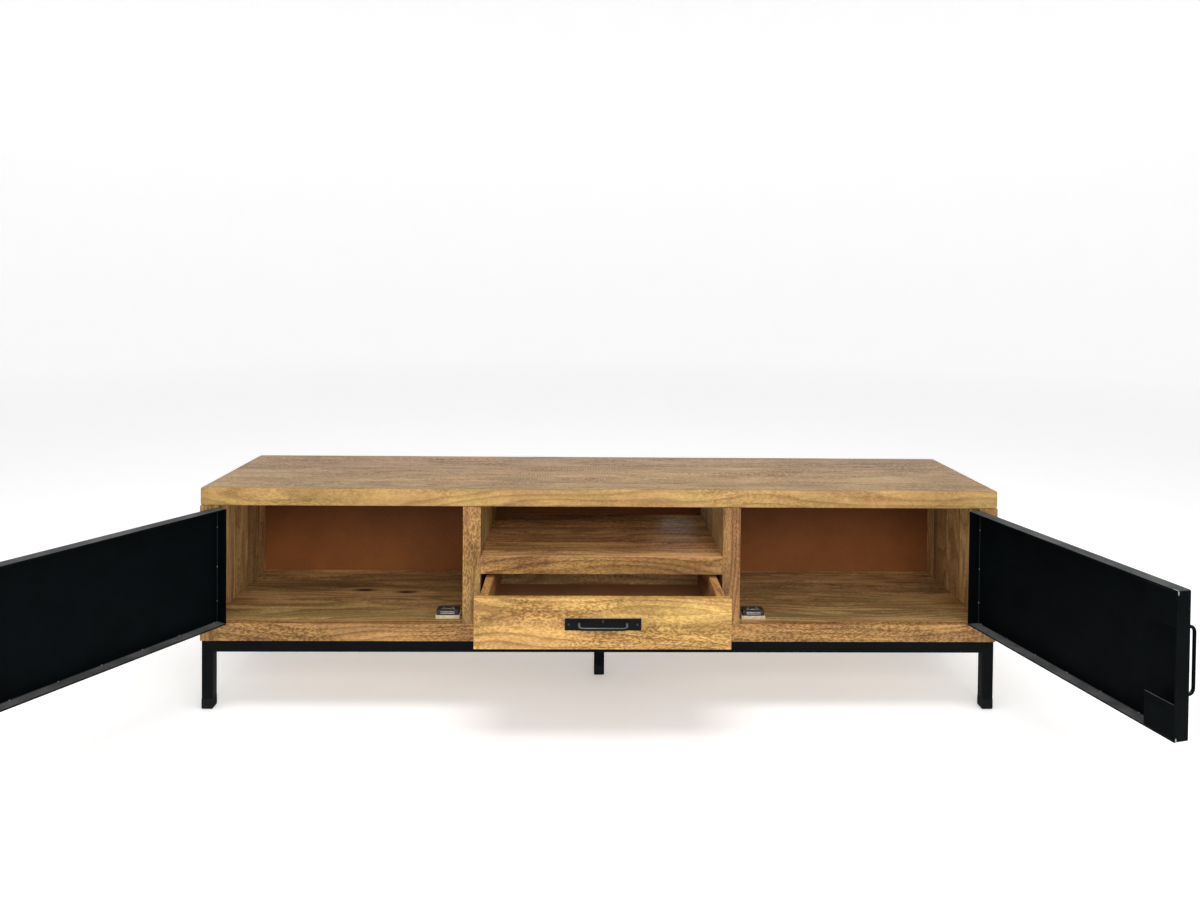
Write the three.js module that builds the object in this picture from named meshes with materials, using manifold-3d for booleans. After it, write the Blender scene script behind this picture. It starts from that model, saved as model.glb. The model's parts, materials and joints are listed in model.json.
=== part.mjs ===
// TV stand with doors: a mango-wood carcass on a welded square-tube underframe,
// two steel tray doors, a drawer under an open middle compartment.
// Millimetres, +Z up, floor at Z 0, front towards -Y, origin under the centre foot.
import * as THREE from "three";
import { mergeVertices } from "three/addons/utils/BufferGeometryUtils.js";
import Module from "manifold-3d";

const wasm = await Module();
wasm.setup();

// ---- driving dimensions -------------------------------------------------
const WIDTH = 1800;
const DEPTH = 380;
const HEIGHT = 500;

// underframe
const TUBE = 25;
const TUBE_WALL = 1.5;
const TUBE_CORNER = 2;
const LEG_CLEAR = 130;
const FRAME_INSET = 4;
const FOOT_HEIGHT = 24;
const FOOT_ROUND = 4;
const FOOT_PLUG = 18;
const PLUG_CLEARANCE = 0.3;

// carcass
const SLAB = 40;
const SLAB_ROUND = 4;
const STILE = 40;
const STILE_DEPTH = 20;
const SIDE_PANEL = 15;
const DIVIDER_PANEL = 25;
const FLOOR_RAIL = 40;
const FLOOR_PANEL = 20;
const SHELF_RAIL = 40;
const SHELF_PANEL = 20;
const BACK_PANEL = 5;
const DRAWER_OPENING = 113;
const CABLE_SLOT_WIDTH = 90;
const CABLE_SLOT_HEIGHT = 50;
const CABLE_SLOT_CORNER = 8;
const CABLE_SLOT_FROM_WALL = 20;
const CABLE_SLOT_ABOVE_SHELF = 20;

// doors
const DOOR_GAP = 3;
const DOOR_DEPTH = 28;
const DOOR_SHEET = 1.5;
const DOOR_BAR = 3;
const DOOR_CORNER = 3;
const DOOR_INNER_CORNER = 0.8;
const SEAM = 0.3;
const CORNER_PLATE = 60;
const CORNER_PLATE_THICK = 2.5;
const LEFT_DOOR_OPEN = 120;
const RIGHT_DOOR_OPEN = 103.5;

// bow handles
const BOW_R = 3;
const BOW_BEND = 12;
const DOOR_BOW_SPAN = 118;
const DOOR_BOW_REACH = 32;
const DOOR_BOW_FROM_EDGE = 18;
const DRAWER_BOW_SPAN = 100;
const DRAWER_BOW_REACH = 30;

// door hinges
const HINGE_HEIGHT = 50;
const HINGE_FROM_END = 30;
const LEAF_SEAT = 0.05;
const DOOR_LEAF_PLAY = 0.2;
const LEAF_WIDTH = 18;
const KNUCKLE_R = 3.5;
const PIN_R = 1.7;
const PIN_CLEARANCE = 0.15;
const KNUCKLE_GAP = 0.4;
const KNUCKLE_SEAT = 0.4;
const PIN_RECESS = 0.5;

// magnetic catches
const CATCH_WIDTH = 55;
const CATCH_BLOCK_DEPTH = 33;
const CATCH_BLOCK_HEIGHT = 8.5;
const CATCH_FROM_STILE = 10;
const CATCH_BODY_INSET = 2.5;
const CATCH_BODY_DEPTH = 28;
const CATCH_BODY_HEIGHT = 12;
const CATCH_GAP = 1;

// drawer
const DRAWER_PULL = 148;
const DRAWER_GAP = 3;
const DRAWER_FRONT = 18;
const DRAWER_WALL = 18;
const DRAWER_BACK_CLEARANCE = 17;
const DRAWER_SIDE_GAP = 12;
const DRAWER_SIDE_LIFT = 8;
const DRAWER_SIDE_DROP = 5;
const DRAWER_FLOOR = 4;
const DRAWER_FLOOR_LIFT = 10;
const DRAWER_GROOVE = 6;
const GROOVE_CLEARANCE = 0.3;
const PULL_PLATE_WIDTH = 160;
const PULL_PLATE_HEIGHT = 25;
const PULL_PLATE_THICK = 3;
const WELD = 0.5;

// drawer runners
const RUNNER_HEIGHT = 32;
const RUNNER_SETBACK = 2;
const RUNNER_BACK_MARGIN = 8;
const RUNNER_SIDE_PLAY = 2;
const RUNNER_NECK_PLAY = 4;
const RUNNER_WALL = 1.5;
const RUNNER_LIP = 4;
const RUNNER_SLACK = 0.5;
const RUNNER_LIFT = 32;

// how far a cutting tool reaches past what it cuts
const CUT_PAST = 1;

// ---- places worked out from the sizes -----------------------------------
const front = -DEPTH / 2;
const back = DEPTH / 2;
const half = WIDTH / 2;
const carcassZ = LEG_CLEAR + TUBE;
const floorZ = carcassZ + FLOOR_RAIL;
const slabZ = HEIGHT - SLAB;
const bayWidth = (WIDTH - 4 * STILE) / 3;
const bayHeight = slabZ - floorZ;
const bayHalf = bayWidth / 2;
const dividerX = bayHalf + STILE / 2;
const shelfRailZ = floorZ + DRAWER_OPENING;
const shelfZ = shelfRailZ + SHELF_RAIL;
const panelFront = front + STILE_DEPTH;
const panelBack = back - BACK_PANEL;
const doorWidth = bayWidth - 2 * DOOR_GAP;
const doorHeight = bayHeight - 2 * DOOR_GAP;
const pivotX = half - STILE - DOOR_GAP / 2;
const doorBottomZ = floorZ + DOOR_GAP;
const hingeZ = [doorBottomZ + HINGE_FROM_END, doorBottomZ + doorHeight - HINGE_FROM_END - HINGE_HEIGHT];
const drawerFrontHeight = DRAWER_OPENING - 2 * DRAWER_GAP;
const drawerZ = floorZ + DRAWER_GAP;
const drawerBack = panelBack - DRAWER_BACK_CLEARANCE;
const drawerOutX = bayHalf - DRAWER_SIDE_GAP;

// ---- materials ----------------------------------------------------------
const material = (color, roughness, metalness) =>
  new THREE.MeshStandardMaterial({ color, roughness, metalness });

const topWood = () => material(0xa58c6e, 0.6, 0);
const frameWood = () => material(0xc89b5f, 0.55, 0);
const panelWood = () => material(0x82643c, 0.65, 0);
const drawerWood = () => material(0xd7aa5f, 0.5, 0);
const paleWood = () => material(0xd9c49a, 0.7, 0);
const hardboard = () => material(0x6b3a22, 0.75, 0);
const blackSteel = () => material(0x14171a, 0.5, 0.2);
const hingeSteel = () => material(0x2a2c2e, 0.45, 0.6);
const runnerSteel = () => material(0x202224, 0.45, 0.5);
const catchPlastic = () => material(0x1c1512, 0.6, 0);
const footPlastic = () => material(0x101214, 0.6, 0);

// ---- small tools --------------------------------------------------------
function toSolid(geometry) {
  const plain = geometry.index ? geometry.toNonIndexed() : geometry.clone();
  plain.deleteAttribute("normal");
  plain.deleteAttribute("uv");
  const merged = mergeVertices(plain, 1e-4);
  const vertProperties = Float32Array.from(merged.attributes.position.array);
  const triVerts = Uint32Array.from(merged.index.array);
  return new wasm.Manifold(new wasm.Mesh({ numProp: 3, vertProperties, triVerts }));
}

function toGeometry(solid) {
  const mesh = solid.getMesh();
  const geometry = new THREE.BufferGeometry();
  geometry.setAttribute("position", new THREE.BufferAttribute(mesh.vertProperties, 3));
  geometry.setIndex(new THREE.BufferAttribute(mesh.triVerts, 1));
  geometry.computeVertexNormals();
  return geometry;
}

function join(first, ...others) {
  return toGeometry(others.reduce((sum, next) => sum.add(toSolid(next)), toSolid(first)));
}

function cut(body, ...tools) {
  return toGeometry(tools.reduce((rest, next) => rest.subtract(toSolid(next)), toSolid(body)));
}

// A box given by its lowest and highest corners.
function block(low, high) {
  const size = high.map((value, i) => value - low[i]);
  const geometry = new THREE.BoxGeometry(...size);
  return geometry.translate(...low.map((value, i) => value + size[i] / 2));
}

// The same box on the side given by s: -1 is left, +1 is right.
function sideBlock(s, low, high) {
  const [x0, x1] = [s * low[0], s * high[0]].sort((a, b) => a - b);
  return block([x0, low[1], low[2]], [x1, high[1], high[2]]);
}

function post(radius, x, y, z0, z1) {
  const geometry = new THREE.CylinderGeometry(radius, radius, z1 - z0, 24);
  return geometry.rotateX(Math.PI / 2).translate(x, y, (z0 + z1) / 2);
}

function roundedRectangle(width, height, radius, shape = new THREE.Shape()) {
  const [w, h, r] = [width / 2, height / 2, radius];
  shape.moveTo(w, -h + r);
  shape.lineTo(w, h - r);
  shape.absarc(w - r, h - r, r, 0, Math.PI / 2);
  shape.lineTo(-w + r, h);
  shape.absarc(-w + r, h - r, r, Math.PI / 2, Math.PI);
  shape.lineTo(-w, -h + r);
  shape.absarc(-w + r, -h + r, r, Math.PI, 1.5 * Math.PI);
  shape.lineTo(w - r, -h);
  shape.absarc(w - r, -h + r, r, 1.5 * Math.PI, 2 * Math.PI);
  return shape;
}

// A square tube along +Z from 0 to length. A mitre of +1 or -1 slants that end across X.
function squareTube(length, startMitre = 0, endMitre = 0) {
  const shape = roundedRectangle(TUBE, TUBE, TUBE_CORNER);
  const bore = TUBE - 2 * TUBE_WALL;
  shape.holes.push(roundedRectangle(bore, bore, TUBE_CORNER - TUBE_WALL, new THREE.Path()));
  const geometry = new THREE.ExtrudeGeometry(shape, { depth: length, bevelEnabled: false, curveSegments: 3 });
  const place = geometry.attributes.position;
  for (let i = 0; i < place.count; i += 1) {
    const mitre = place.getZ(i) > length / 2 ? endMitre : startMitre;
    place.setZ(i, place.getZ(i) + mitre * place.getX(i));
  }
  geometry.computeVertexNormals();
  return geometry;
}

// A round rod bent into a bow: two feet on Z = +-span/2, the bar at Y = -reach.
function bow(span, reach, rodRadius) {
  const end = span / 2;
  const bend = BOW_BEND;
  const corner = (z) => new THREE.Vector3(0, -reach, z);
  const path = new THREE.CurvePath();
  const foot = new THREE.Vector3(0, 0, end);
  const neck = new THREE.Vector3(0, bend - reach, end);
  const shoulder = new THREE.Vector3(0, -reach, end - bend);
  const flip = (v) => new THREE.Vector3(v.x, v.y, -v.z);
  path.add(new THREE.LineCurve3(foot, neck));
  path.add(new THREE.QuadraticBezierCurve3(neck, corner(end), shoulder));
  path.add(new THREE.LineCurve3(shoulder, flip(shoulder)));
  path.add(new THREE.QuadraticBezierCurve3(flip(shoulder), corner(-end), flip(neck)));
  path.add(new THREE.LineCurve3(flip(neck), flip(foot)));
  const section = new THREE.Shape().absarc(0, 0, rodRadius, 0, 2 * Math.PI);
  return new THREE.ExtrudeGeometry(section, { steps: 72, extrudePath: path, curveSegments: 8 });
}

const stand = new THREE.Group();

function add(group, name, geometry, paint) {
  const mesh = new THREE.Mesh(geometry, paint);
  mesh.name = name;
  group.add(mesh);
  return mesh;
}

const SIDES = [["left", -1], ["right", 1]];

// ---- underframe ---------------------------------------------------------
function buildUnderframe() {
  const frame = new THREE.Group();
  const legX = half - FRAME_INSET - TUBE / 2;
  const legY = back - TUBE / 2;
  const railZ = LEG_CLEAR + TUBE / 2;
  const legLength = railZ - FOOT_HEIGHT;
  const railLength = DEPTH - 2 * TUBE;

  for (const [end, y] of [["front", -legY], ["back", legY]]) {
    const rail = add(frame, `${end}_frame_rail`, squareTube(2 * legX, 1, -1), blackSteel());
    rail.rotation.y = Math.PI / 2;
    rail.position.set(-legX, y, railZ);
    for (const [side, s] of SIDES) {
      const leg = add(frame, `${end}_${side}_leg`, squareTube(legLength, 0, s), blackSteel());
      leg.position.set(s * legX, y, FOOT_HEIGHT);
      addFoot(frame, `${end}_${side}_foot`, s * legX, y);
    }
  }
  for (const [name, x] of [["left", -legX], ["centre", 0], ["right", legX]]) {
    const rail = add(frame, `${name}_frame_rail`, squareTube(railLength), blackSteel());
    rail.rotation.x = -Math.PI / 2;
    rail.position.set(x, -railLength / 2, railZ);
  }
  const centreLeg = add(frame, "centre_leg", squareTube(LEG_CLEAR - FOOT_HEIGHT), blackSteel());
  centreLeg.position.z = FOOT_HEIGHT;
  addFoot(frame, "centre_foot", 0, 0);
  stand.add(frame);
}

// A square plastic foot with a round lower edge and a plug that fills the tube.
function addFoot(group, name, x, y) {
  const corner = Math.SQRT2;
  const wide = (TUBE / 2) * corner;
  const plug = (TUBE / 2 - TUBE_WALL - PLUG_CLEARANCE) * corner;
  const round = FOOT_ROUND * corner;
  const profile = [new THREE.Vector2(0, 0)];
  for (let i = 0; i <= 4; i += 1) {
    const turn = (i / 4) * (Math.PI / 2);
    profile.push(new THREE.Vector2(wide - round * (1 - Math.sin(turn)), FOOT_ROUND * (1 - Math.cos(turn))));
  }
  profile.push(new THREE.Vector2(wide, FOOT_HEIGHT));
  profile.push(new THREE.Vector2(plug, FOOT_HEIGHT));
  profile.push(new THREE.Vector2(plug, FOOT_HEIGHT + FOOT_PLUG));
  profile.push(new THREE.Vector2(0, FOOT_HEIGHT + FOOT_PLUG));
  const geometry = new THREE.LatheGeometry(profile, 4, Math.PI / 4);
  geometry.rotateX(Math.PI / 2);
  const foot = add(group, name, geometry, footPlastic());
  foot.position.set(x, y, 0);
}

// ---- carcass ------------------------------------------------------------
function buildCarcass() {
  const carcass = new THREE.Group();
  const slabShape = roundedRectangle(WIDTH - 2 * SLAB_ROUND, DEPTH - 2 * SLAB_ROUND, 1);
  const slab = new THREE.ExtrudeGeometry(slabShape, {
    depth: SLAB - 2 * SLAB_ROUND,
    bevelThickness: SLAB_ROUND,
    bevelSize: SLAB_ROUND,
    bevelSegments: 4,
    curveSegments: 3,
  });
  slab.translate(0, 0, slabZ + SLAB_ROUND);
  add(carcass, "top_slab", slab, topWood());

  for (const [side, s] of SIDES) {
    const stile = sideBlock(s, [half - STILE, front, carcassZ], [half, panelFront, slabZ]);
    add(carcass, `${side}_side_stile`, cut(stile, ...hingeZ.map((z) => knuckleSeat(s, z))), frameWood());
    const wall = sideBlock(s, [half - SIDE_PANEL, panelFront, carcassZ], [half, back, slabZ]);
    add(carcass, `${side}_side_panel`, wall, panelWood());
    const dividerStile = sideBlock(s, [bayHalf, front, floorZ], [bayHalf + STILE, panelFront, slabZ]);
    add(carcass, `${side}_divider_stile`, dividerStile, frameWood());
    const divider = sideBlock(s, [bayHalf, panelFront, floorZ], [bayHalf + DIVIDER_PANEL, panelBack, slabZ]);
    add(carcass, `${side}_divider_panel`, divider, panelWood());
  }

  const insideX = half - SIDE_PANEL;
  const rail = block([STILE - half, front, carcassZ], [half - STILE, panelFront, floorZ]);
  add(carcass, "bottom_front_rail", rail, frameWood());
  const floor = block([-insideX, panelFront, floorZ - FLOOR_PANEL], [insideX, panelBack, floorZ]);
  add(carcass, "bottom_panel", floor, panelWood());
  add(carcass, "middle_shelf", shelfGeometry(), panelWood());

  const cableX = bayHalf - CABLE_SLOT_FROM_WALL - CABLE_SLOT_WIDTH / 2;
  const cableZ = shelfZ + CABLE_SLOT_ABOVE_SHELF + CABLE_SLOT_HEIGHT / 2;
  const slotShape = roundedRectangle(CABLE_SLOT_WIDTH, CABLE_SLOT_HEIGHT, CABLE_SLOT_CORNER);
  const slot = new THREE.ExtrudeGeometry(slotShape, { depth: 3 * BACK_PANEL, bevelEnabled: false, curveSegments: 4 });
  slot.rotateX(Math.PI / 2).translate(cableX, back + BACK_PANEL, cableZ);
  const sheet = block([-insideX, panelBack, carcassZ], [insideX, back, slabZ]);
  add(carcass, "back_panel", cut(sheet, slot), hardboard());
  stand.add(carcass);
}

// The corner of a side stile is let in where the hinge knuckles turn.
function knuckleSeat(s, z) {
  const reach = KNUCKLE_R + KNUCKLE_SEAT;
  const low = [pivotX - CUT_PAST, front - CUT_PAST, z - KNUCKLE_SEAT];
  const high = [pivotX + reach, front + reach, z + HINGE_HEIGHT + KNUCKLE_SEAT];
  return sideBlock(s, low, high);
}

// The shelf is a thin panel with a tall front lipping, glued into one board.
function shelfGeometry() {
  const outline = new THREE.Shape();
  outline.moveTo(front, shelfRailZ);
  outline.lineTo(panelFront, shelfRailZ);
  outline.lineTo(panelFront, shelfZ - SHELF_PANEL);
  outline.lineTo(panelBack, shelfZ - SHELF_PANEL);
  outline.lineTo(panelBack, shelfZ);
  outline.lineTo(front, shelfZ);
  const board = new THREE.ExtrudeGeometry(outline, { depth: bayWidth, bevelEnabled: false });
  board.rotateX(Math.PI / 2).rotateZ(Math.PI / 2);
  return board.translate(-bayHalf, 0, 0);
}

// ---- doors --------------------------------------------------------------
// Each door is drawn closed, round its own pivot, then turned open.
// Its free edge points towards the middle of the stand.
function buildDoor(side, s, openAngle) {
  const door = new THREE.Group();
  const inward = -s;
  const edge = DOOR_GAP / 2;
  const middle = inward * (edge + doorWidth / 2);
  const frameY = DOOR_SHEET + SEAM;

  const outer = roundedRectangle(doorWidth, doorHeight, DOOR_CORNER);
  const plate = new THREE.ExtrudeGeometry(outer, { depth: DOOR_SHEET, bevelEnabled: false, curveSegments: 4 });
  plate.rotateX(Math.PI / 2).translate(middle, DOOR_SHEET, doorHeight / 2);
  const seats = hingeZ.map((z) => doorSeat(inward, z - doorBottomZ));
  add(door, `${side}_door_sheet`, cut(plate, ...seats), blackSteel());

  const ring = roundedRectangle(doorWidth, doorHeight, DOOR_CORNER);
  const inside = [doorWidth - 2 * DOOR_BAR, doorHeight - 2 * DOOR_BAR];
  ring.holes.push(roundedRectangle(...inside, DOOR_INNER_CORNER, new THREE.Path()));
  const bars = new THREE.ExtrudeGeometry(ring, { depth: DOOR_DEPTH - frameY, bevelEnabled: false, curveSegments: 4 });
  bars.rotateX(Math.PI / 2).translate(middle, DOOR_DEPTH, doorHeight / 2);
  add(door, `${side}_door_frame`, cut(bars, ...seats), blackSteel());

  const cornerEnd = edge + doorWidth - DOOR_BAR - SEAM;
  const cornerY = [DOOR_DEPTH - CORNER_PLATE_THICK, DOOR_DEPTH];
  const low = DOOR_BAR + SEAM;
  for (const [level, z] of [["lower", low], ["upper", doorHeight - low - CORNER_PLATE]]) {
    const start = [cornerEnd - CORNER_PLATE, cornerY[0], z];
    const stop = [cornerEnd, cornerY[1], z + CORNER_PLATE];
    add(door, `${side}_door_${level}_corner_plate`, sideBlock(inward, start, stop), blackSteel());
  }

  const handle = bow(DOOR_BOW_SPAN, DOOR_BOW_REACH - BOW_R - SEAM, BOW_R);
  handle.translate(inward * (edge + doorWidth - DOOR_BOW_FROM_EDGE), -SEAM, doorHeight / 2);
  add(door, `${side}_door_handle`, handle, blackSteel());

  for (const [level, z] of [["lower", hingeZ[0]], ["upper", hingeZ[1]]]) {
    add(door, `${side}_${level}_hinge_door_leaf`, doorLeaf(inward, z - doorBottomZ), hingeSteel());
    const fixed = add(stand, `${side}_${level}_hinge_stile_leaf`, stileLeaf(s), hingeSteel());
    fixed.position.set(s * pivotX, front, z);
  }
  door.rotation.z = s * THREE.MathUtils.degToRad(openAngle);
  door.position.set(s * pivotX, front, doorBottomZ);
  stand.add(door);
}

function doorSeat(inward, z) {
  const reach = KNUCKLE_R + KNUCKLE_SEAT;
  const high = [reach, reach, z + HINGE_HEIGHT + KNUCKLE_SEAT];
  return sideBlock(inward, [0, -CUT_PAST, z - KNUCKLE_SEAT], high);
}

// Three knuckles share one pin: the outer two and the pin belong to the stile leaf.
const knuckleLength = (HINGE_HEIGHT - 2 * KNUCKLE_GAP) / 3;
const middleKnuckle = [knuckleLength + KNUCKLE_GAP, HINGE_HEIGHT - knuckleLength - KNUCKLE_GAP];
const leafIn = SEAM;
const leafStart = KNUCKLE_R + KNUCKLE_SEAT;
const tabStart = (PIN_R + KNUCKLE_R) / 2;

function stileLeaf(s) {
  const leafOut = DOOR_GAP / 2 - LEAF_SEAT;
  const plate = sideBlock(s, [leafIn, leafStart, 0], [leafOut, LEAF_WIDTH, HINGE_HEIGHT]);
  const pieces = [post(PIN_R, 0, 0, PIN_RECESS, HINGE_HEIGHT - PIN_RECESS)];
  for (const z of [0, HINGE_HEIGHT - knuckleLength]) {
    pieces.push(post(KNUCKLE_R, 0, 0, z, z + knuckleLength));
    pieces.push(sideBlock(s, [leafIn, tabStart, z], [leafOut, leafStart + WELD, z + knuckleLength]));
  }
  return join(plate, ...pieces);
}

function doorLeaf(inward, z) {
  const leafOut = DOOR_GAP / 2 - SEAM;
  const start = DOOR_LEAF_PLAY;
  const [low, high] = middleKnuckle;
  const plate = sideBlock(inward, [start, leafStart, 0], [leafOut, LEAF_WIDTH, HINGE_HEIGHT]);
  const tab = sideBlock(inward, [start, tabStart, low], [leafOut, leafStart + WELD, high]);
  const solid = join(plate, tab, post(KNUCKLE_R, 0, 0, low, high));
  const bore = post(PIN_R + PIN_CLEARANCE, 0, 0, -CUT_PAST, HINGE_HEIGHT + CUT_PAST);
  return cut(solid, bore).translate(0, 0, z);
}

// ---- magnetic catches ---------------------------------------------------
function buildCatches() {
  for (const [side, s] of SIDES) {
    const x0 = bayHalf + STILE + CATCH_FROM_STILE;
    const y0 = front + DOOR_DEPTH + CATCH_GAP;
    const topZ = floorZ + CATCH_BLOCK_HEIGHT;
    const blockHigh = [x0 + CATCH_WIDTH, y0 + CATCH_BLOCK_DEPTH, topZ];
    add(stand, `${side}_catch_block`, sideBlock(s, [x0, y0, floorZ], blockHigh), paleWood());
    const bodyLow = [x0 + CATCH_BODY_INSET, y0, topZ];
    const bodyX = x0 + CATCH_WIDTH - CATCH_BODY_INSET;
    const bodyHigh = [bodyX, y0 + CATCH_BODY_DEPTH, topZ + CATCH_BODY_HEIGHT];
    add(stand, `${side}_magnetic_catch`, sideBlock(s, bodyLow, bodyHigh), catchPlastic());
  }
}

// ---- drawer -------------------------------------------------------------
function buildDrawer() {
  const drawer = new THREE.Group();
  const frontX = bayHalf - DRAWER_GAP;
  const boxFront = front + DRAWER_FRONT;
  const sideZ = [drawerZ + DRAWER_SIDE_LIFT, drawerZ + drawerFrontHeight - DRAWER_SIDE_DROP];
  const insideX = drawerOutX - DRAWER_WALL;
  const boardZ = sideZ[0] + DRAWER_FLOOR_LIFT;
  const face = block([-frontX, front, drawerZ], [frontX, boxFront, drawerZ + drawerFrontHeight]);
  const grooveHigh = boardZ + DRAWER_FLOOR + GROOVE_CLEARANCE;
  const groove = block(
    [-insideX - DRAWER_GROOVE, boxFront - DRAWER_GROOVE, boardZ - GROOVE_CLEARANCE],
    [insideX + DRAWER_GROOVE, drawerBack + CUT_PAST, grooveHigh],
  );
  add(drawer, "drawer_front", cut(face, groove), drawerWood());
  for (const [side, s] of SIDES) {
    const wall = sideBlock(s, [insideX, boxFront, sideZ[0]], [drawerOutX, drawerBack, sideZ[1]]);
    add(drawer, `drawer_${side}_side`, cut(wall, groove), drawerWood());
  }
  const rear = block([-insideX, drawerBack - DRAWER_WALL, grooveHigh], [insideX, drawerBack, sideZ[1]]);
  add(drawer, "drawer_back", rear, drawerWood());
  const play = GROOVE_CLEARANCE;
  const boardX = insideX + DRAWER_GROOVE - play;
  const board = block(
    [-boardX, boxFront - DRAWER_GROOVE + play, boardZ],
    [boardX, drawerBack - play, boardZ + DRAWER_FLOOR],
  );
  add(drawer, "drawer_bottom", board, hardboard());

  const pullZ = drawerZ + drawerFrontHeight / 2;
  const plate = block(
    [-PULL_PLATE_WIDTH / 2, front - PULL_PLATE_THICK, pullZ - PULL_PLATE_HEIGHT / 2],
    [PULL_PLATE_WIDTH / 2, front, pullZ + PULL_PLATE_HEIGHT / 2],
  );
  const bar = bow(DRAWER_BOW_SPAN, DRAWER_BOW_REACH - BOW_R, BOW_R);
  bar.rotateY(Math.PI / 2).translate(0, front - PULL_PLATE_THICK + WELD, pullZ);
  add(drawer, "drawer_pull", join(plate, bar), blackSteel());
  for (const [side, s] of SIDES) {
    add(drawer, `${side}_runner_drawer_bar`, drawerBar(s), runnerSteel());
    add(stand, `${side}_runner_channel`, runnerChannel(s), runnerSteel());
  }
  drawer.position.y = -DRAWER_PULL;
  stand.add(drawer);
}

const runnerY = front + DRAWER_FRONT + RUNNER_SETBACK;
const runnerEndY = drawerBack - RUNNER_BACK_MARGIN;
const channelX = bayHalf - DRAWER_SIDE_GAP + RUNNER_SIDE_PLAY;
const runnerZ = drawerZ + RUNNER_LIFT;

// The channel is screwed to the divider, its mouth towards the drawer.
function runnerChannel(s) {
  const w = RUNNER_WALL;
  const z1 = runnerZ + RUNNER_HEIGHT;
  const [cutFront, cutBack] = [runnerY - CUT_PAST, runnerEndY + CUT_PAST];
  const mouthZ = [runnerZ + w + RUNNER_LIP, z1 - w - RUNNER_LIP];
  const body = sideBlock(s, [channelX, runnerY, runnerZ], [bayHalf, runnerEndY, z1]);
  const hollow = sideBlock(s, [channelX + w, cutFront, runnerZ + w], [bayHalf - w, cutBack, z1 - w]);
  const mouth = sideBlock(s, [channelX - CUT_PAST, cutFront, mouthZ[0]], [channelX + 2 * w, cutBack, mouthZ[1]]);
  return cut(body, hollow, mouth);
}

// The bar on the drawer side runs inside the channel.
function drawerBar(s) {
  const z1 = runnerZ + RUNNER_HEIGHT;
  const edgeIn = RUNNER_WALL + RUNNER_SLACK;
  const neckIn = edgeIn + RUNNER_LIP;
  const neckLow = [drawerOutX, runnerY, runnerZ + neckIn];
  const neckHigh = [bayHalf - RUNNER_NECK_PLAY, runnerEndY, z1 - neckIn];
  const headLow = [channelX + edgeIn, runnerY, runnerZ + edgeIn];
  const headHigh = [bayHalf - edgeIn, runnerEndY, z1 - edgeIn];
  return join(sideBlock(s, neckLow, neckHigh), sideBlock(s, headLow, headHigh));
}

buildUnderframe();
buildCarcass();
buildDoor("left", -1, LEFT_DOOR_OPEN);
buildDoor("right", 1, RIGHT_DOOR_OPEN);
buildCatches();
buildDrawer();

export default stand;
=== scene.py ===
import json
import math

import bmesh
import bpy
from bpy.props import FloatProperty, FloatVectorProperty, PointerProperty
from mathutils import Matrix, Vector, noise


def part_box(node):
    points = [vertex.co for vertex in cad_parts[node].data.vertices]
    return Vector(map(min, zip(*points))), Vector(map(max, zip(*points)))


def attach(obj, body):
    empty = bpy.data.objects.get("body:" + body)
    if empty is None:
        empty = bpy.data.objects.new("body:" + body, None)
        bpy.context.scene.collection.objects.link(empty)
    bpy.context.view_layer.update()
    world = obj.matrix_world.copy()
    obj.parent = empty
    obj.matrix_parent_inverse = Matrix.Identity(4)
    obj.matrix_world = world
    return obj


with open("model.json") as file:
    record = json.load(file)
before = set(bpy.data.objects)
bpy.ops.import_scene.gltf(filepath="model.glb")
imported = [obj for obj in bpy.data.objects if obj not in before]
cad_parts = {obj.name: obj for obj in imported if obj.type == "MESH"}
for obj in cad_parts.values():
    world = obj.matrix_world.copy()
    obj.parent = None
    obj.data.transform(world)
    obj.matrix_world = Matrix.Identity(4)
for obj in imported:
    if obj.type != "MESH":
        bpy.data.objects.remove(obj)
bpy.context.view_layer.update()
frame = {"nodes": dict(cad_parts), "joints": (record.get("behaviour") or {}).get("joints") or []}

bl_info = {
    "name": "TV Stand With Doors",
    "version": (1, 0, 0),
    "blender": (4, 5, 0),
    "location": "3D View > Sidebar > TV Stand",
    "description": "Finishes the stand: wood, hardboard, black steel, welds, fixings and a stage",
    "category": "Object",
}

MM = 0.001
SIDES = (("left", -1), ("right", 1))
JOINTS = {joint["name"]: joint for joint in frame["joints"]}

# kinds of socket in the shared effects
VALUE = "NodeSocketFloat"
VECTOR = "NodeSocketVector"
COLOUR = "NodeSocketColor"

# shades that are multiplied over the wood, and the heart of a knot
SOAKED_PORES = (0.40, 0.32, 0.20)
KNOT_SHADE = (0.62, 0.48, 0.36)
KNOT_HEART = (0.045, 0.022, 0.010)
SAW_SHADE = (0.60, 0.56, 0.50)
JOINT_SHADE = (0.30, 0.21, 0.15)

# dust that settles on a coat, which also serves as painted top light on upward faces, and the tarnish
# of bare steel
DUST_AND_TOP_LIGHT = (0.26, 0.265, 0.26)
TARNISH = (0.10, 0.09, 0.08)

# a knot that is set this far off shows on no board
FAR_AWAY = (9.0, 9.0, 9.0)


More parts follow.
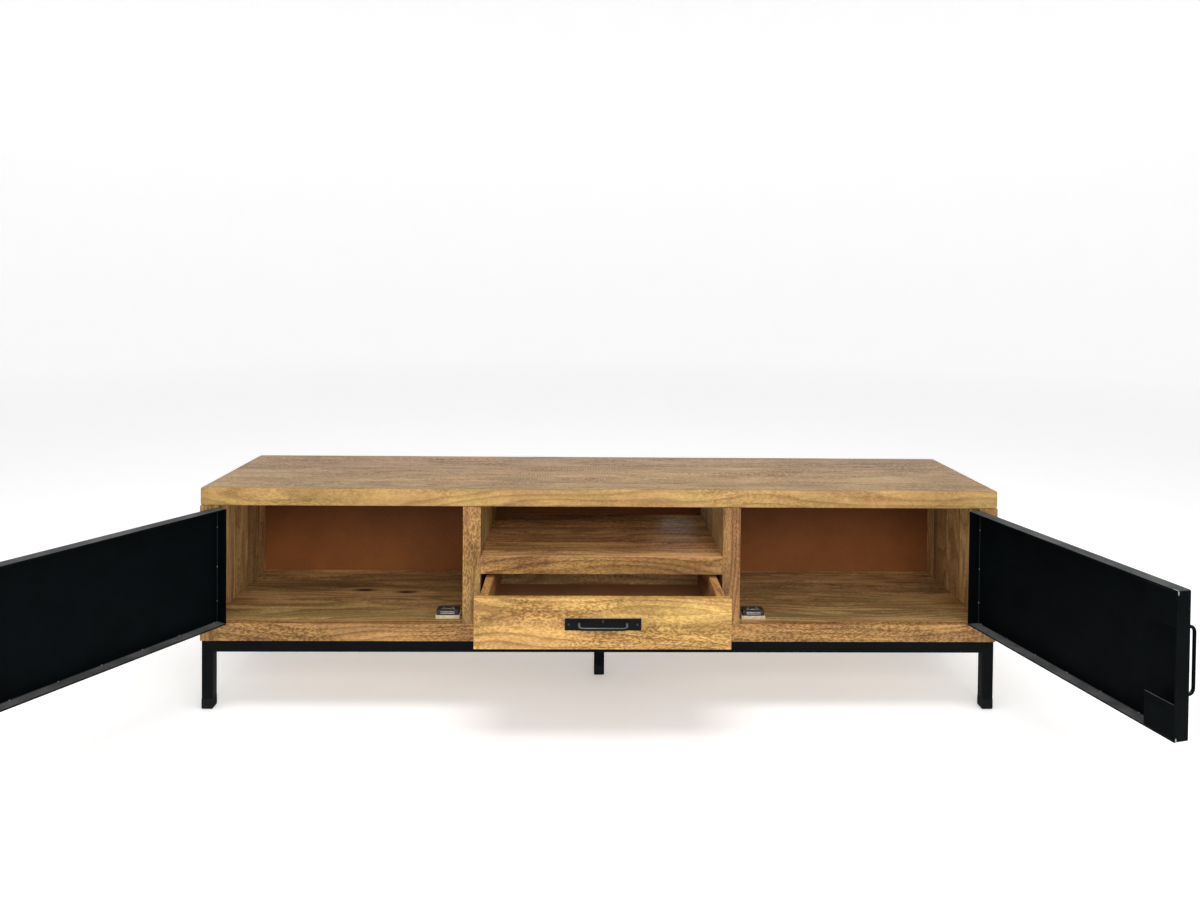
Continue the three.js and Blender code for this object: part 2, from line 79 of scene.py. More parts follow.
# ---- short calls for laying nodes ---------------------------------------
class Nodes:
    """Lays and links the nodes of one material, world or node group."""

    def __init__(self, tree):
        self.tree = tree

    def feed(self, socket, value):
        if isinstance(value, bpy.types.NodeSocket):
            self.tree.links.new(value, socket)
        elif socket.type == "RGBA" and len(value) == 3:
            socket.default_value = (*value, 1.0)
        else:
            socket.default_value = value

    def add(self, kind, inputs=None, **settings):
        node = self.tree.nodes.new(kind)
        for name, value in settings.items():
            setattr(node, name, value)
        for name, value in (inputs or {}).items():
            self.feed(node.inputs[name], value)
        return node

    def math(self, operation, first, second=0.0, clamp=False):
        settings = {"operation": operation, "use_clamp": clamp}
        return self.add("ShaderNodeMath", {0: first, 1: second}, **settings).outputs[0]

    def plus(self, first, second, clamp=False):
        return self.math("ADD", first, second, clamp)

    def minus(self, first, second):
        return self.math("SUBTRACT", first, second)

    def times(self, first, second, clamp=False):
        return self.math("MULTIPLY", first, second, clamp)

    def fade(self, value, start, end, low=0.0, high=1.0):
        """A smooth step from low at start to high at end."""
        inputs = {"Value": value, "From Min": start, "From Max": end, "To Min": low, "To Max": high}
        return self.add("ShaderNodeMapRange", inputs, interpolation_type="SMOOTHSTEP").outputs[0]

    def blend(self, factor, first, second, mode="MIX"):
        settings = {"data_type": "RGBA", "blend_type": mode}
        return self.add("ShaderNodeMix", {0: factor, 6: first, 7: second}, **settings).outputs[2]

    def stretch(self, vector, scale):
        return self.vector_math("MULTIPLY", vector, scale)[0]

    def vector_math(self, operation, first, second=(0.0, 0.0, 0.0)):
        return self.add("ShaderNodeVectorMath", {0: first, 1: second}, operation=operation).outputs

    def vector(self, x=0.0, y=0.0, z=0.0):
        return self.add("ShaderNodeCombineXYZ", {0: x, 1: y, 2: z}).outputs[0]

    def split(self, vector):
        return self.add("ShaderNodeSeparateXYZ", {0: vector}).outputs

    def noise(self, vector, scale=1.0, detail=2.0, roughness=0.5):
        inputs = {"Vector": vector, "Scale": scale, "Detail": detail, "Roughness": roughness}
        return self.add("ShaderNodeTexNoise", inputs).outputs["Fac"]

    def group(self, name, inputs):
        return self.add("ShaderNodeGroup", inputs, node_tree=bpy.data.node_groups[name]).outputs


def new_group(name, inputs, outputs):
    """An empty shader node group with named sockets."""
    tree = bpy.data.node_groups.new(name, "ShaderNodeTree")
    for label, kind, default in inputs:
        socket = tree.interface.new_socket(label, in_out="INPUT", socket_type=kind)
        if default is not None:
            socket.default_value = default
    for label, kind in outputs:
        tree.interface.new_socket(label, in_out="OUTPUT", socket_type=kind)
    nodes = Nodes(tree)
    return nodes, nodes.add("NodeGroupInput").outputs, nodes.add("NodeGroupOutput")


# ---- effects that several finishes share --------------------------------
def make_mango_grain():
    """Boards of mango wood with the grain along X and the boards side by side along Y."""
    nodes, given, result = new_group(
        "mango_grain",
        (
            ("Vector", VECTOR, None),
            ("Board Width", VALUE, 0.09),
            ("Board Offset", VALUE, 0.0),
            ("Board Drift", VALUE, 0.0),
            ("Grain", VALUE, 1.0),
            ("Fleck", VALUE, 1.0),
            ("Streak", VALUE, 0.3),
            ("Knot", VALUE, 0.0),
            ("First Knot", VECTOR, None),
            ("Second Knot", VECTOR, None),
            ("Saw Marks", VALUE, 0.0),
            ("Tone Spread", VALUE, 0.1),
            ("Light Wood", COLOUR, None),
            ("Dark Wood", COLOUR, None),
            ("Streak Colour", COLOUR, None),
        ),
        (("Color", COLOUR), ("Open Grain", VALUE), ("Height", VALUE)),
    )
    # which board a spot is on, and how near it is to a glued joint
    _, y, _ = nodes.split(given["Vector"])
    wander = nodes.noise(nodes.vector(nodes.times(y, 9.0), 4.7), detail=0.0)
    drift = nodes.times(nodes.minus(wander, 0.5), given["Board Drift"])
    moved_y = nodes.plus(nodes.plus(y, given["Board Offset"]), drift)
    place = nodes.math("DIVIDE", moved_y, given["Board Width"])
    board = nodes.math("FLOOR", place)
    share = nodes.minus(place, board)
    nearest = nodes.math("MINIMUM", share, nodes.minus(1.0, share))
    gap = nodes.times(nearest, given["Board Width"])
    joint = nodes.fade(gap, 0.0010, 0.0002)

    # every board is cut from another part of the wood
    luck = nodes.add("ShaderNodeTexWhiteNoise", {"Vector": nodes.vector(board, 3.7)}).outputs["Color"]
    shift = nodes.stretch(luck, (5.0, 5.0, 5.0))
    wood = nodes.vector_math("ADD", given["Vector"], shift)[0]
    wood_x, wood_y, wood_z = nodes.split(wood)
    _, luck_tone, luck_hue = nodes.split(luck)

    # knots that come by chance, and two that are set in place
    cells = nodes.stretch(wood, (3.6, 10.0, 10.0))
    knots = nodes.add("ShaderNodeTexVoronoi", {"Vector": cells, "Scale": 1.0}).outputs
    knot_luck = nodes.split(knots["Color"])[0]
    knot_here = nodes.times(nodes.fade(knot_luck, 0.66, 0.70), given["Knot"])
    knot_reach = nodes.times(nodes.fade(knots["Distance"], 0.42, 0.0), knot_here)
    knot_core = nodes.times(nodes.fade(knots["Distance"], 0.085, 0.03), knot_here)
    set_knots = []
    for label in ("First Knot", "Second Knot"):
        away = nodes.vector_math("SUBTRACT", given["Vector"], given[label])[0]
        away = nodes.stretch(away, (20.0, 62.0, 0.0))
        set_knots.append(nodes.vector_math("LENGTH", away)["Value"])
    set_knot = nodes.math("MINIMUM", *set_knots)
    halo = nodes.times(nodes.fade(set_knot, 1.7, 0.9), nodes.fade(set_knot, 0.45, 0.75, 0.0, 0.55))
    knot_reach = nodes.math("MAXIMUM", knot_reach, nodes.fade(set_knot, 1.1, 0.0))
    knot_core = nodes.math("MAXIMUM", knot_core, nodes.fade(set_knot, 0.52, 0.22))

    # growth rings, which bend round the knots; late wood is the dark part of each
    swell = nodes.noise(nodes.stretch(wood, (2.1, 12.0, 12.0)), detail=1.6, roughness=0.42)
    swell = nodes.plus(swell, nodes.times(knot_reach, 0.30))
    slope = nodes.times(nodes.plus(wood_y, wood_z), 38.0)
    rings = nodes.plus(nodes.times(swell, 11.0), slope)
    ring = nodes.math("FRACT", rings)
    late = nodes.times(nodes.fade(ring, 0.35, 0.90), nodes.fade(ring, 1.0, 0.90))

    # open grain: short dashes in drifts, and finer pores between them
    along = nodes.times(wood_x, 130.0)
    across = nodes.plus(nodes.times(rings, 3.2), nodes.times(wood_y, 250.0))
    through = nodes.times(wood_z, 250.0)
    dash = nodes.noise(nodes.vector(along, across, through), detail=1.5, roughness=0.55)
    dense = nodes.noise(nodes.stretch(wood, (5.0, 18.0, 18.0)))
    dense = nodes.fade(dense, 0.30, 0.62, 0.40, 1.0)
    dash = nodes.times(nodes.fade(dash, 0.43, 0.58), dense)
    pore = nodes.noise(nodes.stretch(wood, (150.0, 950.0, 950.0)), detail=0.0)
    pore = nodes.times(nodes.fade(pore, 0.60, 0.72), 0.55)
    fleck = nodes.math("MAXIMUM", dash, pore)

    # dark patches, long streaks, fibres and a faint ripple
    patch = nodes.noise(nodes.stretch(wood, (5.5, 22.0, 22.0)), detail=3.5, roughness=0.6)
    patch = nodes.fade(patch, 0.36, 0.64)
    streak = nodes.noise(nodes.stretch(wood, (1.0, 24.0, 24.0)), detail=3.0, roughness=0.55)
    streak = nodes.times(nodes.fade(streak, 0.54, 0.72), given["Streak"])
    fibre = nodes.noise(nodes.stretch(wood, (16.0, 520.0, 520.0)))
    ripple = nodes.noise(nodes.stretch(wood, (80.0, 60.0, 60.0)), detail=1.0)

    # the marks laid over each other
    depth = nodes.times(nodes.plus(nodes.times(late, 0.90), patch), given["Grain"])
    depth = nodes.plus(nodes.times(depth, 0.60), nodes.times(fibre, 0.12), clamp=True)
    colour = nodes.blend(depth, given["Light Wood"], given["Dark Wood"])
    soaked = nodes.times(nodes.times(fleck, given["Fleck"]), 0.85, clamp=True)
    colour = nodes.blend(soaked, colour, SOAKED_PORES, "MULTIPLY")
    colour = nodes.blend(streak, colour, given["Streak Colour"])
    colour = nodes.blend(halo, colour, given["Light Wood"])
    colour = nodes.blend(knot_reach, colour, KNOT_SHADE, "MULTIPLY")
    colour = nodes.blend(knot_core, colour, KNOT_HEART)

    # each board's own tone and hue
    tone = nodes.times(nodes.minus(luck_tone, 0.5), given["Tone Spread"])
    sway = nodes.times(nodes.minus(ripple, 0.5), 0.30)
    value = nodes.plus(nodes.times(tone, 2.0), nodes.plus(sway, 1.0))
    warmth = nodes.noise(nodes.stretch(wood, (4.0, 15.0, 15.0)), detail=2.0)
    warmth = nodes.fade(warmth, 0.35, 0.65, 0.498, 0.487)
    hue = nodes.plus(nodes.times(luck_hue, 0.012), warmth)
    shifted = {"Hue": hue, "Value": value, "Color": colour}
    colour = nodes.add("ShaderNodeHueSaturation", shifted).outputs[0]

    # marks of the saw's teeth, in patches, and the glued joints
    teeth = nodes.plus(nodes.times(wood_x, 950.0), nodes.times(swell, 5.0))
    teeth = nodes.fade(nodes.math("SINE", teeth), 0.1, 0.9)
    sawn = nodes.noise(nodes.stretch(wood, (3.2, 5.0, 5.0)), detail=1.0)
    sawn = nodes.times(nodes.times(teeth, nodes.fade(sawn, 0.50, 0.66)), given["Saw Marks"])
    colour = nodes.blend(sawn, colour, SAW_SHADE, "MULTIPLY")
    colour = nodes.blend(joint, colour, JOINT_SHADE, "MULTIPLY")

    rise = nodes.minus(nodes.times(fibre, 0.30), nodes.times(fleck, 0.60))
    rise = nodes.minus(rise, nodes.times(joint, 1.6))
    rise = nodes.plus(rise, nodes.times(ripple, 0.25))
    rise = nodes.minus(rise, nodes.times(late, 0.10))
    nodes.feed(result.inputs["Color"], colour)
    nodes.feed(result.inputs["Open Grain"], fleck)
    nodes.feed(result.inputs["Height"], rise)


def make_edge_wear():
    """A broken mask along the edges of a piece."""
    nodes, given, result = new_group(
        "edge_wear",
        (("Vector", VECTOR, None), ("Width", VALUE, 0.0015), ("Amount", VALUE, 0.5)),
        (("Wear", VALUE),),
    )
    rounded = nodes.add("ShaderNodeBevel", {"Radius": given["Width"]}, samples=4).outputs[0]
    flat = nodes.add("ShaderNodeNewGeometry").outputs["Normal"]
    alike = nodes.vector_math("DOT_PRODUCT", rounded, flat)["Value"]
    edge = nodes.fade(alike, 0.992, 0.80)
    broken = nodes.fade(nodes.noise(given["Vector"], 160.0, 3.0), 0.34, 0.62)
    nodes.feed(result.inputs["Wear"], nodes.times(nodes.times(edge, broken), given["Amount"]))


def make_coat_texture():
    """Fine orange peel and soft clouding, for a powder coat or a moulded skin; its upward faces are
    painted lighter, partly as dust and partly as painted light from above.
    """
    nodes, given, result = new_group(
        "coat_texture",
        (
            ("Vector", VECTOR, None),
            ("Grain Scale", VALUE, 900.0),
            ("Colour", COLOUR, None),
            ("Dust And Top Light", VALUE, 0.1),
        ),
        (("Color", COLOUR), ("Gloss", VALUE), ("Height", VALUE)),
    )
    peel = nodes.noise(given["Vector"], given["Grain Scale"], 2.0)
    cloud = nodes.noise(given["Vector"], 16.0, 4.0, 0.6)
    lit = nodes.fade(peel, 0.50, 0.74)
    colour = nodes.blend(lit, given["Colour"], (2.6, 2.6, 2.6), "MULTIPLY")
    shaded = nodes.fade(cloud, 0.30, 0.70, 0.0, 0.55)
    colour = nodes.blend(shaded, colour, (0.45, 0.45, 0.45), "MULTIPLY")
    # upward faces painted lighter: partly settled dust, partly painted top light and highlight
    up = nodes.split(nodes.add("ShaderNodeNewGeometry").outputs["Normal"])[2]
    dust_and_top_light_share = nodes.times(nodes.fade(up, 0.5, 1.0), nodes.fade(cloud, 0.30, 0.75, 0.45, 1.0))
    dust_and_top_light_share = nodes.times(dust_and_top_light_share, given["Dust And Top Light"])
    nodes.feed(result.inputs["Color"], nodes.blend(dust_and_top_light_share, colour, DUST_AND_TOP_LIGHT))
    nodes.feed(result.inputs["Gloss"], nodes.plus(nodes.times(peel, 0.35), cloud))
    nodes.feed(result.inputs["Height"], peel)


# ---- finishes -----------------------------------------------------------
def new_material(name, **shader):
    """A material with one Principled shader, its fixed values set on the shader itself."""
    material = bpy.data.materials.new(name)
    material.use_nodes = True
    nodes = Nodes(material.node_tree)
    principled = material.node_tree.nodes["Principled BSDF"]
    for label, value in shader.items():
        nodes.feed(principled.inputs[label.replace("_", " ")], value)
    place = nodes.add("ShaderNodeTexCoord").outputs["Object"]
    return material, nodes, principled.inputs, place


def bump(nodes, height, depth, strength):
    """A normal that tilts with height; depth is how far its full rise stands."""
    inputs = {"Height": height, "Distance": depth, "Strength": strength}
    return nodes.add("ShaderNodeBump", inputs).outputs[0]


# how the boards lie: which of X, Y and Z runs along the grain, across the boards and through them
LENGTHWISE = (0, 1, 2)
UPRIGHT_FRONT = (2, 0, 1)
UPRIGHT_SIDE = (2, 1, 0)
FRONT_TO_BACK = (1, 2, 0)

# a piece cut from one board: width, offset, drift and tone spread
ONE_BOARD = (0.9, 0.45, 0.0, 0.0)


def wood_finish(
    name, tones, lie, board, marks, knots=(FAR_AWAY, FAR_AWAY), painted_lid=(1.0, 1.0), sawn=0.0
):
    """Waxed mango wood. tones: light, dark and streak; board: width, offset, drift and tone spread;
    marks: grain, fleck, streak and knot strength; knots: two places along and across the boards;
    painted lid: saturation and value of the upward faces, painted light that greys the top as a
    glancing sheen and brightens the shelf; sawn: strength of the saw marks on them."""
    material, nodes, shader, place = new_material(name, Specular_IOR_Level=0.24)
    axes = nodes.split(place)
    up = nodes.split(nodes.add("ShaderNodeNewGeometry").outputs["Normal"])[2]
    upward = nodes.fade(up, 0.55, 0.95)
    grain = nodes.group(
        "mango_grain",
        {
            "Vector": nodes.vector(*(axes[axis] for axis in lie)),
            "Board Width": board[0],
            "Board Offset": board[1],
            "Board Drift": board[2],
            "Tone Spread": board[3],
            "Grain": marks[0],
            "Fleck": marks[1],
            "Streak": marks[2],
            "Knot": marks[3],
            "First Knot": knots[0],
            "Second Knot": knots[1],
            "Saw Marks": nodes.times(upward, sawn),
            "Light Wood": tones[0],
            "Dark Wood": tones[1],
            "Streak Colour": tones[2],
        },
    )
    wear = nodes.group("edge_wear", {"Vector": place, "Width": 1.6 * MM, "Amount": 0.42})["Wear"]
    colour = nodes.blend(wear, grain["Color"], (1.0, 0.80, 0.58), "SOFT_LIGHT")
    # the upward faces repainted: a painted grey sheen on the top and painted light on the shelf
    painted_lid_light = {"Saturation": painted_lid[0], "Value": painted_lid[1], "Color": colour}
    painted_lid_light = nodes.add("ShaderNodeHueSaturation", painted_lid_light).outputs[0]
    colour = nodes.blend(upward, colour, painted_lid_light)
    nodes.feed(shader["Base Color"], colour)
    nodes.feed(shader["Roughness"], nodes.fade(grain["Open Grain"], 0.0, 1.0, 0.44, 0.72))
    nodes.feed(shader["Normal"], bump(nodes, grain["Height"], 0.35 * MM, 0.55))
    return material


def hardboard_finish(name, shade):
    """Pressed hardboard: matted fibres, a painted shadow darkening its smooth face toward the top,
    sieve marks behind.
    """
    material, nodes, shader, place = new_material(name, Specular_IOR_Level=0.22)
    cloud = nodes.noise(place, 7.0, 4.0, 0.6)
    mat = nodes.noise(nodes.stretch(place, (420.0, 420.0, 900.0)), detail=3.0)
    specks = nodes.fade(nodes.noise(place, 650.0, 1.0), 0.62, 0.72)
    dark = tuple(0.80 * part for part in shade)
    colour = nodes.blend(nodes.fade(cloud, 0.30, 0.70), shade, dark)
    matted = nodes.fade(mat, 0.30, 0.75, 0.0, 0.5)
    colour = nodes.blend(matted, colour, (0.62, 0.50, 0.42), "MULTIPLY")
    colour = nodes.blend(nodes.times(specks, 0.35), colour, (0.30, 0.16, 0.08))
    x, _, z = nodes.split(place)
    behind = nodes.split(nodes.add("ShaderNodeNewGeometry").outputs["Normal"])[1]
    # painted shadow: the inner face darker toward the top, as under the top slab
    painted_shadow = nodes.times(nodes.fade(z, 0.22, 0.46), nodes.fade(behind, -0.4, -0.9))
    colour = nodes.blend(painted_shadow, colour, (0.34, 0.31, 0.34), "MULTIPLY")
    sieve_x = nodes.math("SINE", nodes.times(x, 2400.0))
    sieve_z = nodes.math("SINE", nodes.times(z, 2400.0))
    sieve = nodes.times(nodes.times(sieve_x, sieve_z), nodes.fade(behind, 0.4, 0.9))
    nodes.feed(shader["Base Color"], colour)
    nodes.feed(shader["Roughness"], nodes.fade(mat, 0.2, 0.8, 0.58, 0.82))
    nodes.feed(shader["Normal"], bump(nodes, nodes.plus(mat, sieve), 0.2 * MM, 0.5))
    return material


def coated_finish(
    name, shade, roughness, worn, metal=0.0, gloss=0.022, scale=900.0, dust_and_top_light=0.12, wear=0.35
):
    """Powder-coated steel or moulded plastic, worn through to another colour along its edges."""
    material, nodes, shader, place = new_material(name, Specular_IOR_Level=gloss, Metallic=metal)
    texture = {"Vector": place, "Grain Scale": scale, "Colour": shade, "Dust And Top Light": dust_and_top_light}
    coat = nodes.group("coat_texture", texture)
    rub = nodes.group("edge_wear", {"Vector": place, "Width": 0.9 * MM, "Amount": wear})["Wear"]
    rough = nodes.fade(coat["Gloss"], 0.3, 1.0, roughness - 0.03, roughness + 0.09)
    nodes.feed(shader["Base Color"], nodes.blend(rub, coat["Color"], worn))
    nodes.feed(shader["Roughness"], rough)
    nodes.feed(shader["Normal"], bump(nodes, coat["Height"], 0.05 * MM, 0.35))
    return material


def bare_metal_finish(name, shade, roughness, brushed=(90.0, 90.0, 1400.0)):
    """Bare steel with fine scratches and darker tarnish."""
    material, nodes, shader, place = new_material(name, Metallic=1.0)
    scratch = nodes.noise(nodes.stretch(place, brushed), detail=3.0)
    stain = nodes.noise(place, 130.0, 4.0, 0.65)
    colour = nodes.blend(nodes.fade(stain, 0.42, 0.72, 0.0, 0.7), shade, TARNISH)
    rough = nodes.fade(scratch, 0.25, 0.75, roughness - 0.1, roughness + 0.18)
    nodes.feed(shader["Base Color"], nodes.blend(nodes.times(scratch, 0.3), colour, TARNISH))
    nodes.feed(shader["Roughness"], rough)
    nodes.feed(shader["Normal"], bump(nodes, scratch, 0.04 * MM, 0.5))
    return material


# ---- shapes -------------------------------------------------------------
# faces that meet at less than the first angle are one rounded face; an edge over the second is eased
ROUNDED_BELOW = math.radians(32)
EASED_ABOVE = math.radians(35)


def make_joined_faces():
    """A geometry node group that joins a CAD node's faces and smooths its rounded ones."""
    tree = bpy.data.node_groups.new("joined_faces", "GeometryNodeTree")
    for direction in ("INPUT", "OUTPUT"):
        tree.interface.new_socket("Geometry", in_out=direction, socket_type="NodeSocketGeometry")
    nodes = Nodes(tree)
    given = nodes.add("NodeGroupInput").outputs[0]
    inputs = {"Geometry": given, "Name": "custom_normal"}
    plain = nodes.add("GeometryNodeRemoveAttribute", inputs).outputs[0]
    inputs = {"Geometry": plain, "Distance": 0.01 * MM}
    merged = nodes.add("GeometryNodeMergeByDistance", inputs).outputs[0]
    inputs = {"Geometry": merged, "Shade Smooth": True}
    smooth = nodes.add("GeometryNodeSetShadeSmooth", inputs, domain="FACE").outputs[0]
    angle = nodes.add("GeometryNodeInputMeshEdgeAngle").outputs["Unsigned Angle"]
    inputs = {"A": angle, "B": ROUNDED_BELOW}
    shallow = nodes.add("FunctionNodeCompare", inputs, operation="LESS_THAN").outputs[0]
    inputs = {"Geometry": smooth, "Shade Smooth": shallow}
    edged = nodes.add("GeometryNodeSetShadeSmooth", inputs, domain="EDGE").outputs[0]
    nodes.feed(nodes.add("NodeGroupOutput").inputs[0], edged)


def dress(node, finish, edge=0.0):
    """Gives a CAD node its finish and eases its sharp edges."""
    piece = frame["nodes"][node]
    piece.data.materials.clear()
    piece.data.materials.append(finish)
    joined = piece.modifiers.new("Joined Faces", "NODES")
    joined.node_group = bpy.data.node_groups["joined_faces"]
    if edge:
        eased = piece.modifiers.new("Eased Edges", "BEVEL")
        eased.width = edge
        eased.segments = 2
        eased.limit_method = "ANGLE"
        eased.angle_limit = EASED_ABOVE
        eased.harden_normals = True


def add_piece(name, build, finish, body):
    """A new piece that build draws in a bmesh, riding on a body of the frame."""
    shape = bmesh.new()
    build(shape)
    bmesh.ops.recalc_face_normals(shape, faces=shape.faces)
    mesh = bpy.data.meshes.new(name)
    shape.to_mesh(mesh)
    shape.free()
    mesh.polygons.foreach_set("use_smooth", [True] * len(mesh.polygons))
    mesh.materials.append(finish)
    piece = bpy.data.objects.new(name, mesh)
    bpy.context.scene.collection.objects.link(piece)
    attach(piece, body)
    return piece


def add_bead(shape, place, size, seed=0.0):
    """One lump of weld: a flattened, slightly uneven ball."""
    made = bmesh.ops.create_icosphere(shape, subdivisions=2, radius=1.0)["verts"]
    for vert in made:
        uneven = 1.0 + 0.16 * noise.noise(vert.co * 1.7 + Vector((seed, 2.0 * seed, 0.0)))
        vert.co = place @ Vector(part * reach * uneven for part, reach in zip(vert.co, size))


def add_bead_row(shape, place, start, end, size, pitch):
    """Overlapping lumps in a line, as a weld bead leaves them."""
    run = end - start
    count = max(2, round(run.length / pitch))
    turn = run.to_track_quat("X", "Z").to_matrix().to_4x4()
    for i in range(count + 1):
        spot = Matrix.Translation(start + run * (i / count)) @ turn
        add_bead(shape, place @ spot, size, seed=i * 0.73)


def add_weld_ring(shape, place, middle):
    """Lumps of weld round the foot of a bow, on the face that it stands on."""
    reach = 3.4 * MM
    lumps = 10
    for i in range(lumps):
        turn = 2 * math.pi * i / lumps
        spot = middle + Vector((reach * math.cos(turn), 0.0, reach * math.sin(turn)))
        add_bead(shape, place @ Matrix.Translation(spot), (1.3 * MM, 0.8 * MM, 1.3 * MM), seed=i)


# a screw head's profile from the rim to the middle: share of its radius, share of its height
SCREW_RINGS = (
    (1.0, 0.0),
    (1.0, 0.32),
    (0.90, 0.66),
    (0.72, 0.88),
    (0.52, 0.97),
    (0.44, 0.99),
    (0.22, 1.0),
)
SCREW_SEGMENTS = 24
# height of the floor of its cross recess, and of the middle of that
RECESS = 0.35
RECESS_MIDDLE = 0.3


def add_screw(shape, place, radius, height):
    """A domed head with a cross recess, standing along the Z axis of place."""
    rings = []
    for share, rise in SCREW_RINGS:
        ring = []
        for i in range(SCREW_SEGMENTS):
            turn = 2 * math.pi * i / SCREW_SEGMENTS
            recessed = share < 0.5 and math.cos(4 * turn) > 0.3
            level = height * (RECESS if recessed else rise)
            reach = radius * share
            spot = Vector((reach * math.cos(turn), reach * math.sin(turn), level))
            ring.append(shape.verts.new(place @ spot))
        rings.append(ring)
    for outer, inner in zip(rings, rings[1:]):
        for i in range(SCREW_SEGMENTS):
            j = (i + 1) % SCREW_SEGMENTS
            shape.faces.new((outer[i], outer[j], inner[j], inner[i]))
    centre = shape.verts.new(place @ Vector((0.0, 0.0, height * RECESS_MIDDLE)))
    for i in range(SCREW_SEGMENTS):
        shape.faces.new((rings[-1][i], rings[-1][(i + 1) % SCREW_SEGMENTS], centre))
    shape.faces.new(tuple(reversed(rings[0])))


def add_bar(shape, low, high, edge):
    """A bar between two corners, its edges eased."""
    made = bmesh.ops.create_cube(shape, size=1.0)["verts"]
    size = Vector(high) - Vector(low)
    middle = (Vector(high) + Vector(low)) / 2
    for vert in made:
        vert.co = middle + Vector(part * reach for part, reach in zip(vert.co, size))
    edges = list({line for vert in made for line in vert.link_edges})
    bmesh.ops.bevel(shape, geom=edges, offset=edge, segments=2, affect="EDGES", profile=0.5)


def facing(direction, at):
    """A place at a point whose Z axis looks along direction."""
    return Matrix.Translation(at) @ Vector(direction).to_track_quat("Z", "Y").to_matrix().to_4x4()


def door_place(side, s):
    """From the closed door's own directions to the door as it stands: X runs inward from the
    hinge pin, Y to the back and Z up from the door's foot."""
    hinge = JOINTS[f"{side}_door_hinge"]
    pivot = Vector(hinge["pos_m"])
    pivot.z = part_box(f"{side}_door_sheet")[0].z
    opened = math.radians(-hinge["range_deg"][0])
    turned = Matrix.Translation(pivot) @ Matrix.Rotation(s * opened, 4, "Z")
    return turned @ Matrix.Diagonal((-s, 1.0, 1.0, 1.0))


def local_box(node, place):
    """A node's lowest and highest corner in the closed door's own directions."""
    back = place.inverted()
    spots = [back @ vert.co for vert in frame["nodes"][node].data.vertices]
    low = Vector(min(spot[axis] for spot in spots) for axis in range(3))
    high = Vector(max(spot[axis] for spot in spots) for axis in range(3))
    return low, high


def door_width(side, s):
    """Width of a door's sheet, from its hinged edge to its free edge."""
    low, high = local_box(f"{side}_door_sheet", door_place(side, s))
    return high.x - low.x


def bow_feet(side, place):
    """Where the two ends of a door's bow handle meet the sheet, in the closed door's directions."""
    low, high = local_box(f"{side}_door_handle", place)
    rod = (high.x - low.x) / 2
    x = low.x + rod
    return Vector((x, 0.0, low.z + rod)), Vector((x, 0.0, high.z - rod))


# ---- settings -----------------------------------------------------------
def tint(name, description, default):
    settings = {"subtype": "COLOR", "size": 3, "min": 0.0, "max": 1.0}
    return FloatVectorProperty(name=name, description=description, default=default, **settings)


def number(name, description, default, **settings):
    return FloatProperty(name=name, description=description, default=default, **settings)


def length(name, description, default):
    return number(name, description, default, min=0.0, unit="LENGTH")


class StandWood(bpy.types.PropertyGroup):
    """Tones and boards of the mango wood and the hardboard."""

    light: tint("Light wood", "Sapwood of the front edges", (0.55, 0.310, 0.106))
    dark: tint("Dark wood", "Late wood and darker patches of the front edges", (0.235, 0.118, 0.040))
    streak: tint("Streak", "Grey-brown streaks that run with the grain", (0.12, 0.080, 0.040))
    top_light: tint("Top wood", "Light wood of the top", (0.60, 0.360, 0.130))
    top_dark: tint("Top dark wood", "Late wood and darker patches of the top", (0.33, 0.188, 0.066))
    drawer_light: tint("Drawer front", "Lightest wood, on the drawer front", (0.78, 0.490, 0.152))
    drawer_dark: tint("Drawer dark wood", "Late wood of the drawer front", (0.36, 0.205, 0.058))
    # the inside tones are the front wood painted brighter, painted light in the shaded compartments
    brightened_inside_light: tint("Inside wood", "Light wood of the panels and floor", (0.74, 0.485, 0.205))
    brightened_inside_dark: tint("Inside dark wood", "Dark wood of the panels and floor", (0.34, 0.212, 0.084))
    pale: tint("Spacer block", "Pale wood under the magnetic catches", (0.80, 0.66, 0.46))
    hardboard: tint("Hardboard", "Back panel", (0.30, 0.103, 0.026))
    # the drawer's hardboard painted brighter than the back's, painted light where it lies in shade
    brightened_drawer_hardboard: tint("Drawer hardboard", "Bottom of the drawer", (0.50, 0.225, 0.100))
    top_board: length("Top board width", "Width of the boards glued into the top", 0.095)
    floor_board: length("Floor board width", "Width of the boards of the floor and the shelf", 0.065)
    panel_board: length("Panel board width", "Width of the upright boards of the side panels", 0.078)
    eased_edge: length("Eased edge", "Rounding of the sanded wooden edges", 0.0009)


